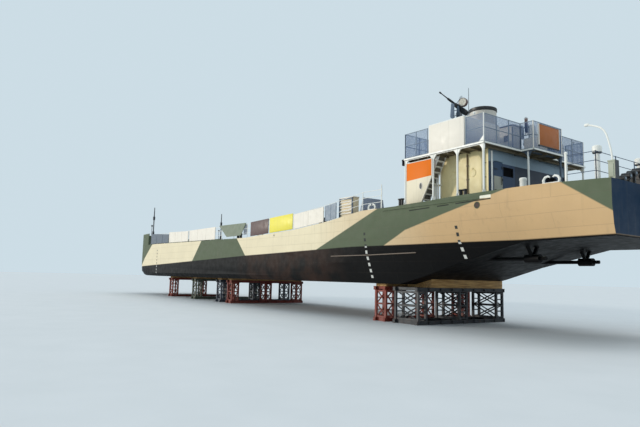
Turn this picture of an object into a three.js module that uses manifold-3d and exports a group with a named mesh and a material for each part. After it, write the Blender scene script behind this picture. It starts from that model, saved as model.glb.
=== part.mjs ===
// Tank landing craft with a bow ramp, standing on steel trestles with timber packing.
// Every length below is in metres of the real vessel. The finished group is scaled to a 1:2 model
// in millimetres, so one real metre is MODEL_MM_PER_METRE long in it.
// x runs forward from the transom, y to port, z up from the flat bottom, until the last lines.

import * as THREE from "three";
import { mergeVertices } from "three/addons/utils/BufferGeometryUtils.js";
import Module from "manifold-3d";

const wasm = await Module();
wasm.setup();

// Driving dimensions
const MODEL_MM_PER_METRE = 500;
const GAP = 0.0008;                     // between pieces that touch: 0.4 mm in the model
const SLOPE_GAP = 0.004;                // under a post's foot on a sloping deck
const LENGTH = 57.07;
const HALF_BEAM = 4.7;
const AFT_DECK = 4.2;
const BREAK = 15.5;                     // where the decked stern ends and the tank hold starts
const TANK_DECK = 1.2;
const HOLD_HALF = 2.9;
const THROAT_HALF = 2.1;
const THROAT_START = 54.0;
const FOREDECK = 3.57;
const BULWARK_TOP = 4.85;
const FLOOR = -2.15;

// Hull stations. Columns: x, half-width and height of the bottom edge, of the knuckle
// and of the top of the flare, then the height of the deck edge.
const STATIONS = [
  [0.00, 4.50, 2.05, 4.62, 2.50, 4.70, 3.20, 4.20],
  [4.40, 3.80, 2.03, 4.25, 2.65, 4.70, 3.50, 4.20],
  [8.20, 3.60, 1.10, 4.20, 2.05, 4.70, 3.50, 4.20],
  [10.6, 3.65, 0.40, 4.24, 1.85, 4.70, 3.25, 4.20],
  [12.2, 3.72, 0.00, 4.35, 1.75, 4.70, 3.00, 4.20],
  [14.5, 3.95, 0.00, 4.54, 1.70, 4.70, 2.60, 4.20],
  [17.8, 4.25, 0.00, 4.64, 1.00, 4.70, 1.90, 3.82],
  [21.7, 4.40, 0.00, 4.70, 0.35, 4.70, 1.30, 3.52],
  [29.0, 4.40, 0.00, 4.70, 0.35, 4.70, 1.30, 3.29],
  [38.6, 4.40, 0.00, 4.70, 0.35, 4.70, 1.30, 3.40],
  [50.8, 4.40, 0.00, 4.70, 0.35, 4.70, 1.30, FOREDECK],
  [54.6, 4.40, 0.04, 4.70, 0.40, 4.70, 1.30, FOREDECK],
  [56.0, 4.20, 0.16, 4.50, 0.55, 4.58, 1.35, FOREDECK],
  [56.8, 3.80, 0.40, 4.10, 0.80, 4.25, 1.50, FOREDECK],
  [LENGTH, 3.30, 0.75, 3.60, 1.10, 3.75, 1.70, FOREDECK],
];

// Colours and finishes
const paint = (color, roughness = 0.6, metalness = 0.1) =>
  new THREE.MeshStandardMaterial({ color, roughness, metalness });
const CREAM = 0xe2d4b4;
const GREY_GREEN = 0x707a62;
const DARK_GREY = 0x2b3a48;
const GUN_METAL = 0x1d2226;
const BLUE_GREY = 0x6f7f8f;
const WHITE = 0xe8e8e4;
const BLACK = 0x16181a;
const ORANGE = 0xe88a2c;
const YELLOW = 0xf0e05a;
const BROWN = 0x64493f;
const TRESTLE_RED = 0x8e3a24;
const TRESTLE_BLUE = 0x3c4854;
const TIMBER = 0x9a7a52;

const craft = new THREE.Group();

// Shape helpers

function solidOf(geometry) {
  const bare = geometry.clone();
  bare.deleteAttribute("normal");
  bare.deleteAttribute("uv");
  const merged = mergeVertices(bare, 1e-5);
  const corners = [];
  for (let i = 0; i < merged.index.count; i += 3) {
    const [a, b, c] = [0, 1, 2].map((k) => merged.index.getX(i + k));
    if (a !== b && b !== c && c !== a) {
      corners.push(a, b, c);
    }
  }
  const vertProperties = new Float32Array(merged.attributes.position.array);
  const triVerts = new Uint32Array(corners);
  return new wasm.Manifold(new wasm.Mesh({ numProp: 3, vertProperties, triVerts }));
}

function geometryOf(solid) {
  const mesh = solid.getMesh();
  const geometry = new THREE.BufferGeometry();
  geometry.setAttribute("position", new THREE.BufferAttribute(mesh.vertProperties, 3));
  geometry.setIndex(new THREE.BufferAttribute(mesh.triVerts, 1));
  return geometry;
}

const join = (pieces) => geometryOf(pieces.map(solidOf).reduce((sum, piece) => sum.add(piece)));

const cut = (piece, tools) =>
  geometryOf(tools.map(solidOf).reduce((rest, tool) => rest.subtract(tool), solidOf(piece)));

const common = (piece, tool) => geometryOf(solidOf(piece).intersect(solidOf(tool)));

// The same shape on the starboard side.
function mirrored(geometry) {
  const copy = geometryOf(solidOf(geometry));
  copy.scale(1, -1, 1);
  const index = copy.index.array;
  for (let i = 0; i < index.length; i += 3) {
    [index[i], index[i + 1]] = [index[i + 1], index[i]];
  }
  return copy;
}

function box(x0, x1, y0, y1, z0, z1) {
  const geometry = new THREE.BoxGeometry(x1 - x0, y1 - y0, z1 - z0);
  return geometry.translate((x0 + x1) / 2, (y0 + y1) / 2, (z0 + z1) / 2);
}

function extruded(outline, depth) {
  const shape = new THREE.Shape(outline.map(([u, v]) => new THREE.Vector2(u, v)));
  return new THREE.ExtrudeGeometry(shape, { depth, bevelEnabled: false });
}

// An outline seen from above, (x, y) points.
const plan = (outline, z0, z1) => extruded(outline, z1 - z0).translate(0, 0, z0);

// An outline seen from the side, (x, z) points.
const profile = (outline, y0, y1) =>
  extruded(outline, y1 - y0).rotateX(Math.PI / 2).translate(0, y1, 0);

// An outline seen from the bow, (y, z) points.
function across(outline, x0, x1) {
  const axes = new THREE.Matrix4().makeBasis(
    new THREE.Vector3(0, 1, 0), new THREE.Vector3(0, 0, 1), new THREE.Vector3(1, 0, 0));
  return extruded(outline, x1 - x0).applyMatrix4(axes).translate(x0, 0, 0);
}

function rod(from, to, radius, sides = 8, endRadius = radius) {
  const start = new THREE.Vector3(...from);
  const end = new THREE.Vector3(...to);
  const along = end.clone().sub(start);
  const geometry = new THREE.CylinderGeometry(endRadius, radius, along.length(), sides);
  const turn = new THREE.Quaternion().setFromUnitVectors(
    new THREE.Vector3(0, 1, 0), along.clone().normalize());
  geometry.applyQuaternion(turn);
  const middle = start.add(end).multiplyScalar(0.5);
  return geometry.translate(middle.x, middle.y, middle.z);
}

// A turned shape about a vertical line through (x, y), from (radius, height) points.
function turned(points, x, y, sides = 24) {
  const line = points.map(([r, z]) => new THREE.Vector2(r, z));
  return new THREE.LatheGeometry(line, sides).rotateX(Math.PI / 2).translate(x, y, 0);
}

// A wall of even thickness along a line of (x, y) points.
function wall(line, thickness, z0, z1) {
  const sides = [[], []];
  line.forEach(([x, y], i) => {
    const before = line[Math.max(i - 1, 0)];
    const after = line[Math.min(i + 1, line.length - 1)];
    const first = new THREE.Vector2(x - before[0], y - before[1]);
    const second = new THREE.Vector2(after[0] - x, after[1] - y);
    const ways = [first, second].filter((way) => way.length() > 0).map((way) => way.normalize());
    const mean = ways.reduce((sum, way) => sum.clone().add(way)).normalize();
    const reach = thickness / 2 / mean.dot(ways[0]);
    sides[0].push([x - mean.y * reach, y + mean.x * reach]);
    sides[1].unshift([x + mean.y * reach, y - mean.x * reach]);
  });
  return plan([...sides[0], ...sides[1]], z0, z1);
}

// Posts and level rails along a line of (x, y, z) points at deck level.
function railing(line, height, spacing, radius, levels, foot = GAP) {
  const pieces = [];
  const posts = [];
  line.slice(1).forEach((end, i) => {
    const start = line[i];
    const run = Math.hypot(end[0] - start[0], end[1] - start[1]);
    const count = Math.max(1, Math.round(run / spacing));
    for (let k = 0; k < count; k += 1) {
      posts.push(start.map((value, axis) => value + (end[axis] - value) * k / count));
    }
    for (const level of levels) {
      const lift = ([x, y, z]) => [x, y, z + level * height];
      pieces.push(rod(lift(start), lift(end), radius * 0.8, 4));
    }
  });
  posts.push(line.at(-1));
  for (const [x, y, z] of posts) {
    pieces.push(rod([x, y, z + foot], [x, y, z + height + radius], radius, 4));
  }
  return join(pieces);
}

function add(name, geometry, material, group = craft) {
  const mesh = new THREE.Mesh(geometry, material);
  mesh.name = name;
  group.add(mesh);
  return mesh;
}

// A piece on the port side and its twin on the starboard side.
function addPair(name, geometry, material) {
  add(`${name}_port`, geometry, material);
  add(`${name}_starboard`, mirrored(geometry), material.clone());
}

// Height of the deck edge at x, between two stations.
function deckAt(x) {
  const next = Math.max(1, STATIONS.findIndex((station) => station[0] >= x));
  const [a, b] = [STATIONS[next - 1], STATIONS[next]];
  return a[7] + (b[7] - a[7]) * (x - a[0]) / (b[0] - a[0]);
}

// Hull

function wholeHull() {
  const rings = STATIONS.map(([x, bottom, zBottom, knuckle, zKnuckle, top, zTop, zDeck]) => {
    const half = [[bottom, zBottom], [knuckle, zKnuckle], [top, zTop], [top, zDeck]];
    const port = half.map(([y, z]) => [x, y, z]);
    return [...port, ...port.map(([, y, z]) => [x, -y, z]).reverse()];
  });
  const count = rings[0].length;
  const index = [];
  for (let i = 0; i + 1 < rings.length; i += 1) {
    for (let k = 0; k < count; k += 1) {
      const [a, b] = [i * count + k, i * count + (k + 1) % count];
      index.push(a, b, b + count, a, b + count, a + count);
    }
  }
  const last = (rings.length - 1) * count;
  for (let k = 1; k + 1 < count; k += 1) {
    index.push(0, k + 1, k, last, last + k, last + k + 1);
  }
  const geometry = new THREE.BufferGeometry();
  geometry.setAttribute("position", new THREE.Float32BufferAttribute(rings.flat(2), 3));
  geometry.setIndex(index);
  return geometry;
}

const holdOutline = [
  [BREAK + GAP, -HOLD_HALF], [THROAT_START - 2.5, -HOLD_HALF],
  [THROAT_START, -THROAT_HALF], [LENGTH + 1, -THROAT_HALF],
  [LENGTH + 1, THROAT_HALF], [THROAT_START, THROAT_HALF],
  [THROAT_START - 2.5, HOLD_HALF], [BREAK + GAP, HOLD_HALF],
];

function shaftBracket() {
  const [x, y, z] = [4.9, 2.3, 1.36];
  const arm = { radius: 0.09, spread: 0.5, top: 2.1 };
  return [
    rod([x - 0.4, y, z], [x + 0.35, y, z], 0.2, 12),
    rod([x - 0.7, y, z], [x + 2.9, y, z], 0.09, 8),
    rod([x, y, z], [x, y + arm.spread, arm.top], arm.radius, 6),
    rod([x, y, z], [x, y - arm.spread, arm.top], arm.radius, 6),
  ];
}

// Low plates across the deck where it starts to fall towards the hold.
function breakwaters() {
  const [aft, fore, low, high] = [14.55, 14.62, AFT_DECK - 0.05, 5.03];
  const port = [[4.5, low], [4.5, high], [2.95, high], [2.8, low]];
  return [across(port, aft, fore), across(port.map(([y, z]) => [-y, z]).reverse(), aft, fore)];
}

// Rubbing strake just under the deck edge, with a pointed aft end.
function strake() {
  const [aft, fore, low, high, taper] = [5.4, 12.6, 4.02, 4.14, 0.35];
  const [root, edge] = [HALF_BEAM - 0.1, HALF_BEAM + 0.05];
  return plan([[aft, -root], [aft + taper, -edge], [fore, -edge], [fore, edge],
    [aft + taper, edge], [aft, root]], low, high);
}

// Deck plate of the hold, standing just proud between the side tanks.
const holdPlate = (thick) => [
  [BREAK + 0.02, -HOLD_HALF], [THROAT_START - 2.5, -HOLD_HALF],
  [THROAT_START, -THROAT_HALF], [LENGTH - 0.25, -THROAT_HALF],
].map(([x, y]) => [x, y + thick]);

function hull() {
  const body = wholeHull();
  const far = 60;
  const stern = common(body, box(-1, BREAK, -far, far, -1, far));
  const brackets = shaftBracket();
  add("hull_stern",
    join([stern, strake(), ...breakwaters(), ...brackets, ...brackets.map(mirrored)]), paint(CREAM));

  const lug = [[LENGTH - 0.1, 1.0], [LENGTH + 0.15, 1.0], [LENGTH + 0.2, 1.12],
    [LENGTH + 0.15, 1.19], [LENGTH - 0.1, 1.19]];
  const lugs = [-1, 1].map((side) => profile(lug, side * 1.98 - 0.06, side * 1.98 + 0.06));
  const bottom = common(body, box(BREAK + GAP, far, -far, far, -1, TANK_DECK));
  const starboardEdge = holdPlate(0.01);
  const portEdge = starboardEdge.map(([x, y]) => [x, -y]).reverse();
  const plate = plan([...starboardEdge, ...portEdge], TANK_DECK - 0.05, TANK_DECK + 0.02);
  add("hull_bottom", join([bottom, plate, ...lugs]), paint(BLACK));

  const above = common(body, box(BREAK + GAP, far, 0, far, TANK_DECK + GAP, far));
  const tank = cut(above, [plan(holdOutline, 0, 10)]);
  const bulwark = wall([[53.6, 4.66], [54.6, 4.66], [55.98, 4.545], [56.76, 4.22],
    [57.02, 3.72], [57.02, THROAT_HALF]], 0.08, FOREDECK - 0.1, BULWARK_TOP);
  const hood = box(15.7, 17.05, 3.9, 4.35, 3.8, 5.2);
  addPair("side_tank", join([tank, bulwark, hood]), paint(CREAM));
}

// Bow ramp, closed, hinged along its foot.
const RAMP_HINGE = { x: LENGTH + 0.09, z: 1.1 };

function bowRamp() {
  const half = THROAT_HALF - 0.04;
  const face = { x0: LENGTH - 0.2, x1: LENGTH, z0: 1.24, z1: 4.75 };
  const pieces = [box(face.x0, face.x1, -half, half, face.z0, face.z1)];
  for (const y of [-1.9, -0.95, 0, 0.95, 1.9]) {
    pieces.push(box(face.x1 - 0.01, face.x1 + 0.08, y - 0.06, y + 0.06, face.z0, face.z1));
  }
  for (const y of [-1.5, -0.5, 0.5, 1.5]) {
    pieces.push(profile([[LENGTH - 0.06, 1.5], [LENGTH + 0.05, 1.5],
      [RAMP_HINGE.x + 0.06, RAMP_HINGE.z], [RAMP_HINGE.x - 0.02, RAMP_HINGE.z - 0.06]],
    y - 0.06, y + 0.06));
  }
  pieces.push(rod([RAMP_HINGE.x, -1.9, RAMP_HINGE.z], [RAMP_HINGE.x, 1.9, RAMP_HINGE.z],
    0.05, 10));
  add("bow_ramp", join(pieces), paint(GREY_GREEN));
}

function bowGear() {
  const [x, y] = [53.3, 4.3];
  const mast = join([
    rod([x, y, FOREDECK + GAP], [x, y, 5.2], 0.14, 10),
    rod([x, y, 5.1], [x, y, 8.0], 0.06, 8, 0.045),
    rod([x, y, 6.55], [x, y, 6.95], 0.13, 8),
  ]);
  addPair("bow_mast", mast, paint(DARK_GREY));

  const foot = FOREDECK + GAP;
  const winch = join([
    box(50.9, 52.6, 3.3, 4.3, foot, foot + 0.12),
    box(51.0, 51.15, 3.35, 4.25, foot + 0.1, foot + 1.05),
    box(52.35, 52.5, 3.35, 4.25, foot + 0.1, foot + 1.05),
    rod([51.1, 3.8, foot + 0.65], [52.4, 3.8, foot + 0.65], 0.36, 14),
  ]);
  addPair("ramp_winch", winch, paint(DARK_GREY));
}

// Deckhouse under the bridge deck
const HOUSE = { aft: 6.46, fore: 9.9, half: 3.4, thick: 0.12, top: 6.7 };
const DOOR = { inner: 2.28, outer: 2.98, sill: 4.35, head: 6.15, thick: 0.06, clear: 0.02 };
const BRIDGE = { aft: 5.92, fore: 11.25, half: 4.4, under: 6.72, top: 6.78, beam: 0.05 };
const AFT_WING = { aft: 5.2, port: 1.55, starboard: -1.0 };
const FLARE = { half: 0.24, high: 0.3 };

function deckhouse() {
  const middle = HOUSE.half - HOUSE.thick / 2;
  const radius = 0.6;
  const front = HOUSE.fore - HOUSE.thick / 2;
  const corner = (side) => [0, 1, 2, 3, 4].map((k) => {
    const angle = (side > 0 ? 4 - k : k) * Math.PI / 8;
    return [front - radius + radius * Math.cos(angle),
      side * (middle - radius + radius * Math.sin(angle))];
  });
  const start = HOUSE.aft + HOUSE.thick + GAP;
  const line = [[start, middle], ...corner(1), ...corner(-1), [start, -middle]];
  const ports = [7.4, 8.6].map((x) =>
    rod([x, -5, 5.6], [x, 5, 5.6], 0.16, 12));
  add("deckhouse_shell",
    cut(wall(line, HOUSE.thick, AFT_DECK + GAP, HOUSE.top), ports), paint(CREAM));

  const end = box(HOUSE.aft, HOUSE.aft + HOUSE.thick, -HOUSE.half, HOUSE.half,
    AFT_DECK + GAP, HOUSE.top);
  const holes = [box(6, 7, -2.2, -1.49, 5.51, 5.89), box(6, 7, 1.49, 2.2, 5.51, 5.89)];
  for (const side of [-1, 1]) {
    const [a, b] = [side * DOOR.inner, side * DOOR.outer];
    holes.push(box(6, 7, Math.min(a, b), Math.max(a, b), DOOR.sill, DOOR.head));
  }
  add("deckhouse_aft", cut(end, holes), paint(BLUE_GREY));

  const leaf = join([
    box(HOUSE.aft, HOUSE.aft + DOOR.thick, DOOR.inner + DOOR.clear, DOOR.outer - DOOR.clear,
      DOOR.sill + DOOR.clear, DOOR.head - DOOR.clear),
    box(HOUSE.aft - 0.04, HOUSE.aft + 0.01, DOOR.inner + 0.1, DOOR.inner + 0.14, 5.1, 5.4),
  ]);
  addPair("door", leaf, paint(DARK_GREY));
}

function bridgeDeck() {
  const outline = [
    [BRIDGE.aft, -BRIDGE.half], [BRIDGE.fore, -BRIDGE.half], [BRIDGE.fore, BRIDGE.half],
    [BRIDGE.aft, BRIDGE.half], [BRIDGE.aft, AFT_WING.port], [AFT_WING.aft, AFT_WING.port],
    [AFT_WING.aft, AFT_WING.starboard], [BRIDGE.aft, AFT_WING.starboard],
  ];
  add("bridge_deck", plan(outline, BRIDGE.under, BRIDGE.top), paint(CREAM));
}

// A post with a flared head under a beam along the craft, which ends at the two edges.
function post(x, y, edges) {
  const beam = BRIDGE.under - BRIDGE.beam;
  const foot = beam - FLARE.high;
  const flare = [[x - 0.04, foot], [x + 0.04, foot],
    [Math.min(x + FLARE.half, edges[1]), beam + 0.02],
    [Math.max(x - FLARE.half, edges[0]), beam + 0.02]];
  return [rod([x, y, AFT_DECK + GAP], [x, y, beam + 0.02], 0.05, 8),
    profile(flare, y - 0.03, y + 0.03)];
}

function bridgePosts() {
  const y = BRIDGE.half - 0.07;
  const [low, high] = [BRIDGE.under - BRIDGE.beam, BRIDGE.under - GAP];
  const ends = [BRIDGE.aft + 0.02, BRIDGE.fore - 0.02];
  const row = [6.01, 7.57, 9.16, 11.18].flatMap((x) => post(x, y, ends));
  row.push(box(...ends, y - 0.05, y + 0.05, low, high));
  addPair("bridge_posts", join(row), paint(WHITE));

  const wing = [AFT_WING.aft + 0.02, BRIDGE.aft - 0.02];
  const aft = [[5.58, 1.45], [5.3, -0.9]].flatMap(([x, side]) => [
    ...post(x, side, wing), box(...wing, side - 0.05, side + 0.05, low, high)]);
  aft.push(box(5.53, 5.63, -0.9, 1.45, low, high));
  add("bridge_posts_aft", join(aft), paint(WHITE));
}

function screensAndLadder() {
  const floor = AFT_DECK + GAP;
  const outline = [[11.05, floor], [11.05, 6.5], [9.2, 6.5], [9.2, 5.6], [9.97, floor]];
  addPair("screen", profile(outline, 4.37, 4.4), paint(ORANGE));

  const [foot, head] = [[10.3, AFT_DECK + 0.06], [9.0, BRIDGE.under - 0.06]];
  const pieces = [3.62, 4.12].map((y) =>
    rod([foot[0], y, foot[1]], [head[0], y, head[1]], 0.04, 6));
  for (let k = 1; k <= 8; k += 1) {
    const [x, z] = [0, 1].map((i) => foot[i] + (head[i] - foot[i]) * k / 9);
    pieces.push(rod([x, 3.62, z], [x, 4.12, z], 0.025, 4));
  }
  add("ladder_port", join(pieces), paint(WHITE));
}

// Fence on the bridge deck's edge, from one gun tub round each end to the other.
function bridgeRail() {
  const z = BRIDGE.top;
  const y = BRIDGE.half - 0.05;
  const [port, starboard] = [AFT_WING.port - 0.05, AFT_WING.starboard + 0.05];
  const high = 1.38;
  const line = [
    [TUB.fore + 0.1, y, z], [BRIDGE.fore - 0.05, y, z], [BRIDGE.fore - 0.05, -y, z],
    [TUB.fore + 0.1, -y, z],
  ];
  add("bridge_rail_fore", railing(line, high, 1.3, 0.03, [0.04, 0.5, 1]), paint(BLUE_GREY));
  const aft = [
    [TUB.aft - 0.1, y, z], [BRIDGE.aft + 0.05, y, z], [BRIDGE.aft + 0.05, port, z],
    [AFT_WING.aft + 0.05, port, z], [AFT_WING.aft + 0.05, starboard, z],
    [BRIDGE.aft + 0.05, starboard, z], [BRIDGE.aft + 0.05, -y, z], [TUB.aft - 0.1, -y, z],
  ];
  add("bridge_rail_aft", railing(aft, high, 1.3, 0.03, [0.04, 0.5, 1]), paint(BLUE_GREY));
  add("board_aft", box(AFT_WING.aft - 0.05, AFT_WING.aft + 0.005, -0.57, 1.14, 7.0, 8.05),
    paint(ORANGE));
}

// Gun tubs: square shields open on top, with a way in on the inboard side.
const TUB = { aft: 7.12, fore: 9.44, outer: 4.38, inner: 1.6, top: 8.27, thick: 0.06 };

function gunTubs() {
  const half = TUB.thick / 2;
  const [aft, fore] = [TUB.aft + half, TUB.fore - half];
  const [inner, outer] = [TUB.inner + half, TUB.outer - half];
  const line = [[fore - 0.7, inner], [fore, inner], [fore, outer], [aft, outer], [aft, inner],
    [aft + 0.7, inner]];
  addPair("gun_tub", wall(line, TUB.thick, BRIDGE.top + GAP, TUB.top), paint(CREAM));
}

// Light guns on pedestals. Each one's train is from the bow towards port, in degrees.
const GUN = {
  x: 8.6, y: 2.95, trunnion: 9.35, table: 8.35,
  rest: [
    { name: "port", side: 1, train: 12, raise: 43 },
    { name: "starboard", side: -1, train: -56, raise: 36 },
  ],
};

function gunPedestal() {
  const foot = BRIDGE.top + GAP;
  const points = [[0, foot], [0.34, foot], [0.34, foot + 0.08], [0.22, foot + 0.18],
    [0.14, GUN.table - 0.05], [0.14, GUN.table], [0, GUN.table]];
  return turned(points, GUN.x, GUN.y, 16);
}

// Carriage with the gun's line along x and its trunnion at the origin.
function gunCarriage() {
  const floor = GUN.table - GUN.trunnion + 0.012;
  const pieces = [
    rod([0, 0, floor], [0, 0, floor + 0.1], 0.2, 16),
  ];
  for (const side of [-1, 1]) {
    pieces.push(box(-0.08, 0.08, side * 0.14 - 0.025, side * 0.14 + 0.025, floor + 0.08, 0.08));
    pieces.push(box(0.02, 0.22, side * 0.15 - 0.015, side * 0.15 + 0.015, -0.2, -0.12));
    const [a, b] = [side * 0.14, side * 0.6];
    pieces.push(box(0.2, 0.23, Math.min(a, b), Math.max(a, b), -0.65, 0.3));
  }
  return join(pieces);
}

function gunBarrel() {
  const reach = 1.62;
  return join([
    box(-0.55, 0.35, -0.07, 0.07, -0.09, 0.09),
    rod([0, -0.1, 0], [0, 0.1, 0], 0.04, 10),
    rod([0.3, 0, 0], [0.85, 0, 0], 0.065, 12),
    rod([0.8, 0, 0], [reach - 0.25, 0, 0], 0.035, 10, 0.028),
    rod([reach - 0.27, 0, 0], [reach, 0, 0], 0.03, 10, 0.05),
    box(-0.1, 0.1, -0.05, 0.05, 0.05, 0.2),
    rod([0, -0.09, 0.33], [0, 0.09, 0.33], 0.23, 16),
    rod([-0.5, 0, -0.02], [-0.76, 0, -0.1], 0.03, 6),
    rod([-0.76, -0.08, -0.1], [-0.76, 0.08, -0.1], 0.05, 8),
  ]);
}

function guns() {
  addPair("gun_pedestal", gunPedestal(), paint(DARK_GREY));
  for (const { name, side, train, raise } of GUN.rest) {
    const mounting = new THREE.Group();
    mounting.position.set(GUN.x, side * GUN.y, GUN.trunnion);
    mounting.rotation.z = THREE.MathUtils.degToRad(train);
    const raised = new THREE.Group();
    raised.rotation.y = -THREE.MathUtils.degToRad(raise);
    mounting.add(raised);
    craft.add(mounting);
    add(`gun_carriage_${name}`, gunCarriage(), paint(BLUE_GREY), mounting);
    add(`gun_barrel_${name}`, gunBarrel(), paint(GUN_METAL, 0.4, 0.7), raised);
  }
}

function bridgeGear() {
  const z = BRIDGE.top + GAP;
  const rim = 10.02;
  const [body, lip, bore] = [0.75, 0.78, 0.66];
  add("funnel", turned([[0, z], [body, z], [body, rim - 0.2], [lip, rim - 0.2], [lip, rim],
    [bore, rim], [bore, rim - 1.2], [0, rim - 1.2]], 9.4, 0, 32), paint(CREAM));

  const top = 8.7;
  const [inner, outer, round] = [-0.53, 0.36, 0.1];
  const outline = [[inner, z], [outer, z], [outer, top - 2 * round], [outer - round, top - 0.06],
    [outer - 2 * round, top], [inner + 2 * round, top], [inner + round, top - 0.06],
    [inner, top - 2 * round]];
  add("chart_locker", across(outline, 7.28, 8.06), paint(CREAM));

  const x = 10.41;
  add("signal_mast", join([
    rod([x, 0, z], [x, 0, 9.0], 0.07, 10),
    rod([x, 0, 8.9], [x, 0, 11.63], 0.03, 8, 0.015),
  ]), paint(DARK_GREY));
}

// Stern deck
function sternGear() {
  const z = AFT_DECK + GAP;
  const head = [[0, z], [0.16, z], [0.16, z + 0.06], [0.11, z + 0.1], [0.11, 5.43],
    [0.18, 5.43], [0.18, 5.6], [0.14, 5.7], [0.07, 5.75], [0, 5.76]];
  for (const [name, y] of [["port", 3.76], ["middle", 0.26], ["starboard", -3.76]]) {
    add(`vent_${name}`, turned(head, 0.98, y, 16), paint(WHITE));
  }

  const y = 4.2;
  const route = new THREE.CatmullRomCurve3([[0.17, 4.93], [0.2, 5.26], [0.26, 5.57], [0.45, 6.16],
    [0.75, 6.39], [1.12, 6.52]].map(([x, height]) => new THREE.Vector3(x, y, height)));
  const disc = new THREE.Shape();
  disc.absarc(0, 0, 0.045, 0, Math.PI * 2);
  const pipe = new THREE.ExtrudeGeometry(disc,
    { extrudePath: route, steps: 12, curveSegments: 4, bevelEnabled: false });
  add("stern_lamp", join([
    box(0.01, 0.32, 3.85, 4.3, z, 4.95), pipe,
    rod([1.03, y, 6.49], [1.21, y, 6.55], 0.055, 10),
  ]), paint(WHITE));

  const drum = [[0, z], [0.25, z], [0.25, z + 0.06], [0.16, z + 0.12], [0.16, 4.86],
    [0.17, 4.88], [0.17, 4.96], [0.14, 4.98], [0, 4.98]];
  add("capstan_port", turned(drum, 4.64, 3.3, 20), paint(WHITE));

  const rail = { x: 0.62, y: 4.6, end: 3.9 };
  add("rail_stern", railing([[rail.x, rail.y, AFT_DECK], [rail.x, -rail.y, AFT_DECK],
    [rail.end, -rail.y, AFT_DECK]], 1.0, 1.5, 0.028, [0.35, 0.68, 1]), paint(WHITE));
}

// Platform over the stern for the kedge anchor's winch.
const DRUM = { x: -0.55, z: 4.4, half: 0.5, radius: 0.16 };

function kedgeGear() {
  const pieces = [box(-1.0, -GAP, -1.9, 1.9, 3.7, 3.82)];
  for (const y of [-1.8, -0.6, 0.6, 1.8]) {
    pieces.push(profile([[-0.95, 3.71], [-GAP, 3.3], [-GAP, 3.71]], y - 0.04, y + 0.04));
  }
  add("kedge_platform", join(pieces), paint(DARK_GREY));

  const foot = 3.82 + GAP;
  const frame = [box(-0.9, -0.2, -0.8, 0.8, foot, foot + 0.08)];
  for (const side of [-1, 1]) {
    const y = side * 0.68;
    const cheek = profile([[-0.85, foot + 0.05], [-0.25, foot + 0.05], [-0.4, 4.62],
      [-0.7, 4.62]], y - 0.05, y + 0.05);
    frame.push(cut(cheek, [rod([DRUM.x, y - 1, DRUM.z], [DRUM.x, y + 1, DRUM.z], 0.07, 12)]));
  }
  add("kedge_winch", join(frame), paint(BLACK));
  add("kedge_drum", join([
    rod([DRUM.x, -DRUM.half, DRUM.z], [DRUM.x, DRUM.half, DRUM.z], DRUM.radius, 16),
    rod([DRUM.x, -DRUM.half, DRUM.z], [DRUM.x, -DRUM.half + 0.06, DRUM.z], 0.3, 18),
    rod([DRUM.x, DRUM.half - 0.06, DRUM.z], [DRUM.x, DRUM.half, DRUM.z], 0.3, 18),
    rod([DRUM.x, -0.85, DRUM.z], [DRUM.x, 0.85, DRUM.z], 0.055, 10),
  ]), paint(BLACK));
}

// Rails on the side decks, with the boards they carry.
// Columns: start, end, then the height above the deck at each.
const RAIL_Y = 4.58;
const RAIL_BOARDS = [
  [17.05, 18.22, 1.05, 1.05], [18.4, 22.0, 1.18, 1.18], [35.1, 41.2, 1.18, 1.18],
  [41.5, 46.9, 1.18, 1.18], [47.1, 52.9, 0.97, 1.23],
];
const LONE_BOARDS = [
  ["board_yellow", 22.1, 25.3, YELLOW], ["board_brown", 25.5, 28.3, BROWN],
];

// A board from x0 to x1 that follows the deck edge.
function board(x0, x1, y0, y1, highAft = 1.18, highFore = highAft) {
  const low = 0.06;
  const high = (x) => highAft + (highFore - highAft) * (x - x0) / (x1 - x0);
  const stops = [x0, ...STATIONS.map(([x]) => x).filter((x) => x > x0 && x < x1), x1];
  const under = stops.map((x) => [x, deckAt(x) + low]);
  const over = stops.map((x) => [x, deckAt(x) + high(x)]).reverse();
  return profile([...under, ...over], y0, y1);
}

function sideRails() {
  const [first, last] = [12.2, 53.0];
  const stops = [first, ...STATIONS.map(([x]) => x).filter((x) => x > first && x < last), last];
  const line = stops.map((x) => [x, RAIL_Y, deckAt(x)]);
  const rails = railing(line, 1.1, 2.4, 0.028, [0.35, 0.68, 1], SLOPE_GAP);
  const boards = RAIL_BOARDS.map(([x0, x1, highAft, highFore]) =>
    board(x0, x1, RAIL_Y, RAIL_Y + 0.05, highAft, highFore));
  addPair("rail", join([rails, ...boards]), paint(CREAM));
  for (const [name, x0, x1, color] of LONE_BOARDS) {
    add(name, board(x0, x1, RAIL_Y + 0.035, RAIL_Y + 0.085), paint(color));
  }
  const lean = board(29.2, 34.3, RAIL_Y + 0.035, RAIL_Y + 0.085);
  add("board_green", lean, paint(GREY_GREEN));
}

// Trestles across the bottom. Columns: x, half length along the craft, colour.
const TRESTLES = [
  [11.8, 0.95, DARK_GREY], [13.9, 0.5, TRESTLE_RED], [33.7, 0.5, TRESTLE_RED],
  [35.9, 0.5, TRESTLE_BLUE], [41.7, 0.5, GREY_GREEN], [48.2, 0.5, TRESTLE_RED],
];
const TRESTLE = { cap: -0.16, beam: 0.2, half: 3.75, legs: [-3.3, 0, 3.3], leg: 0.08 };

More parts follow.
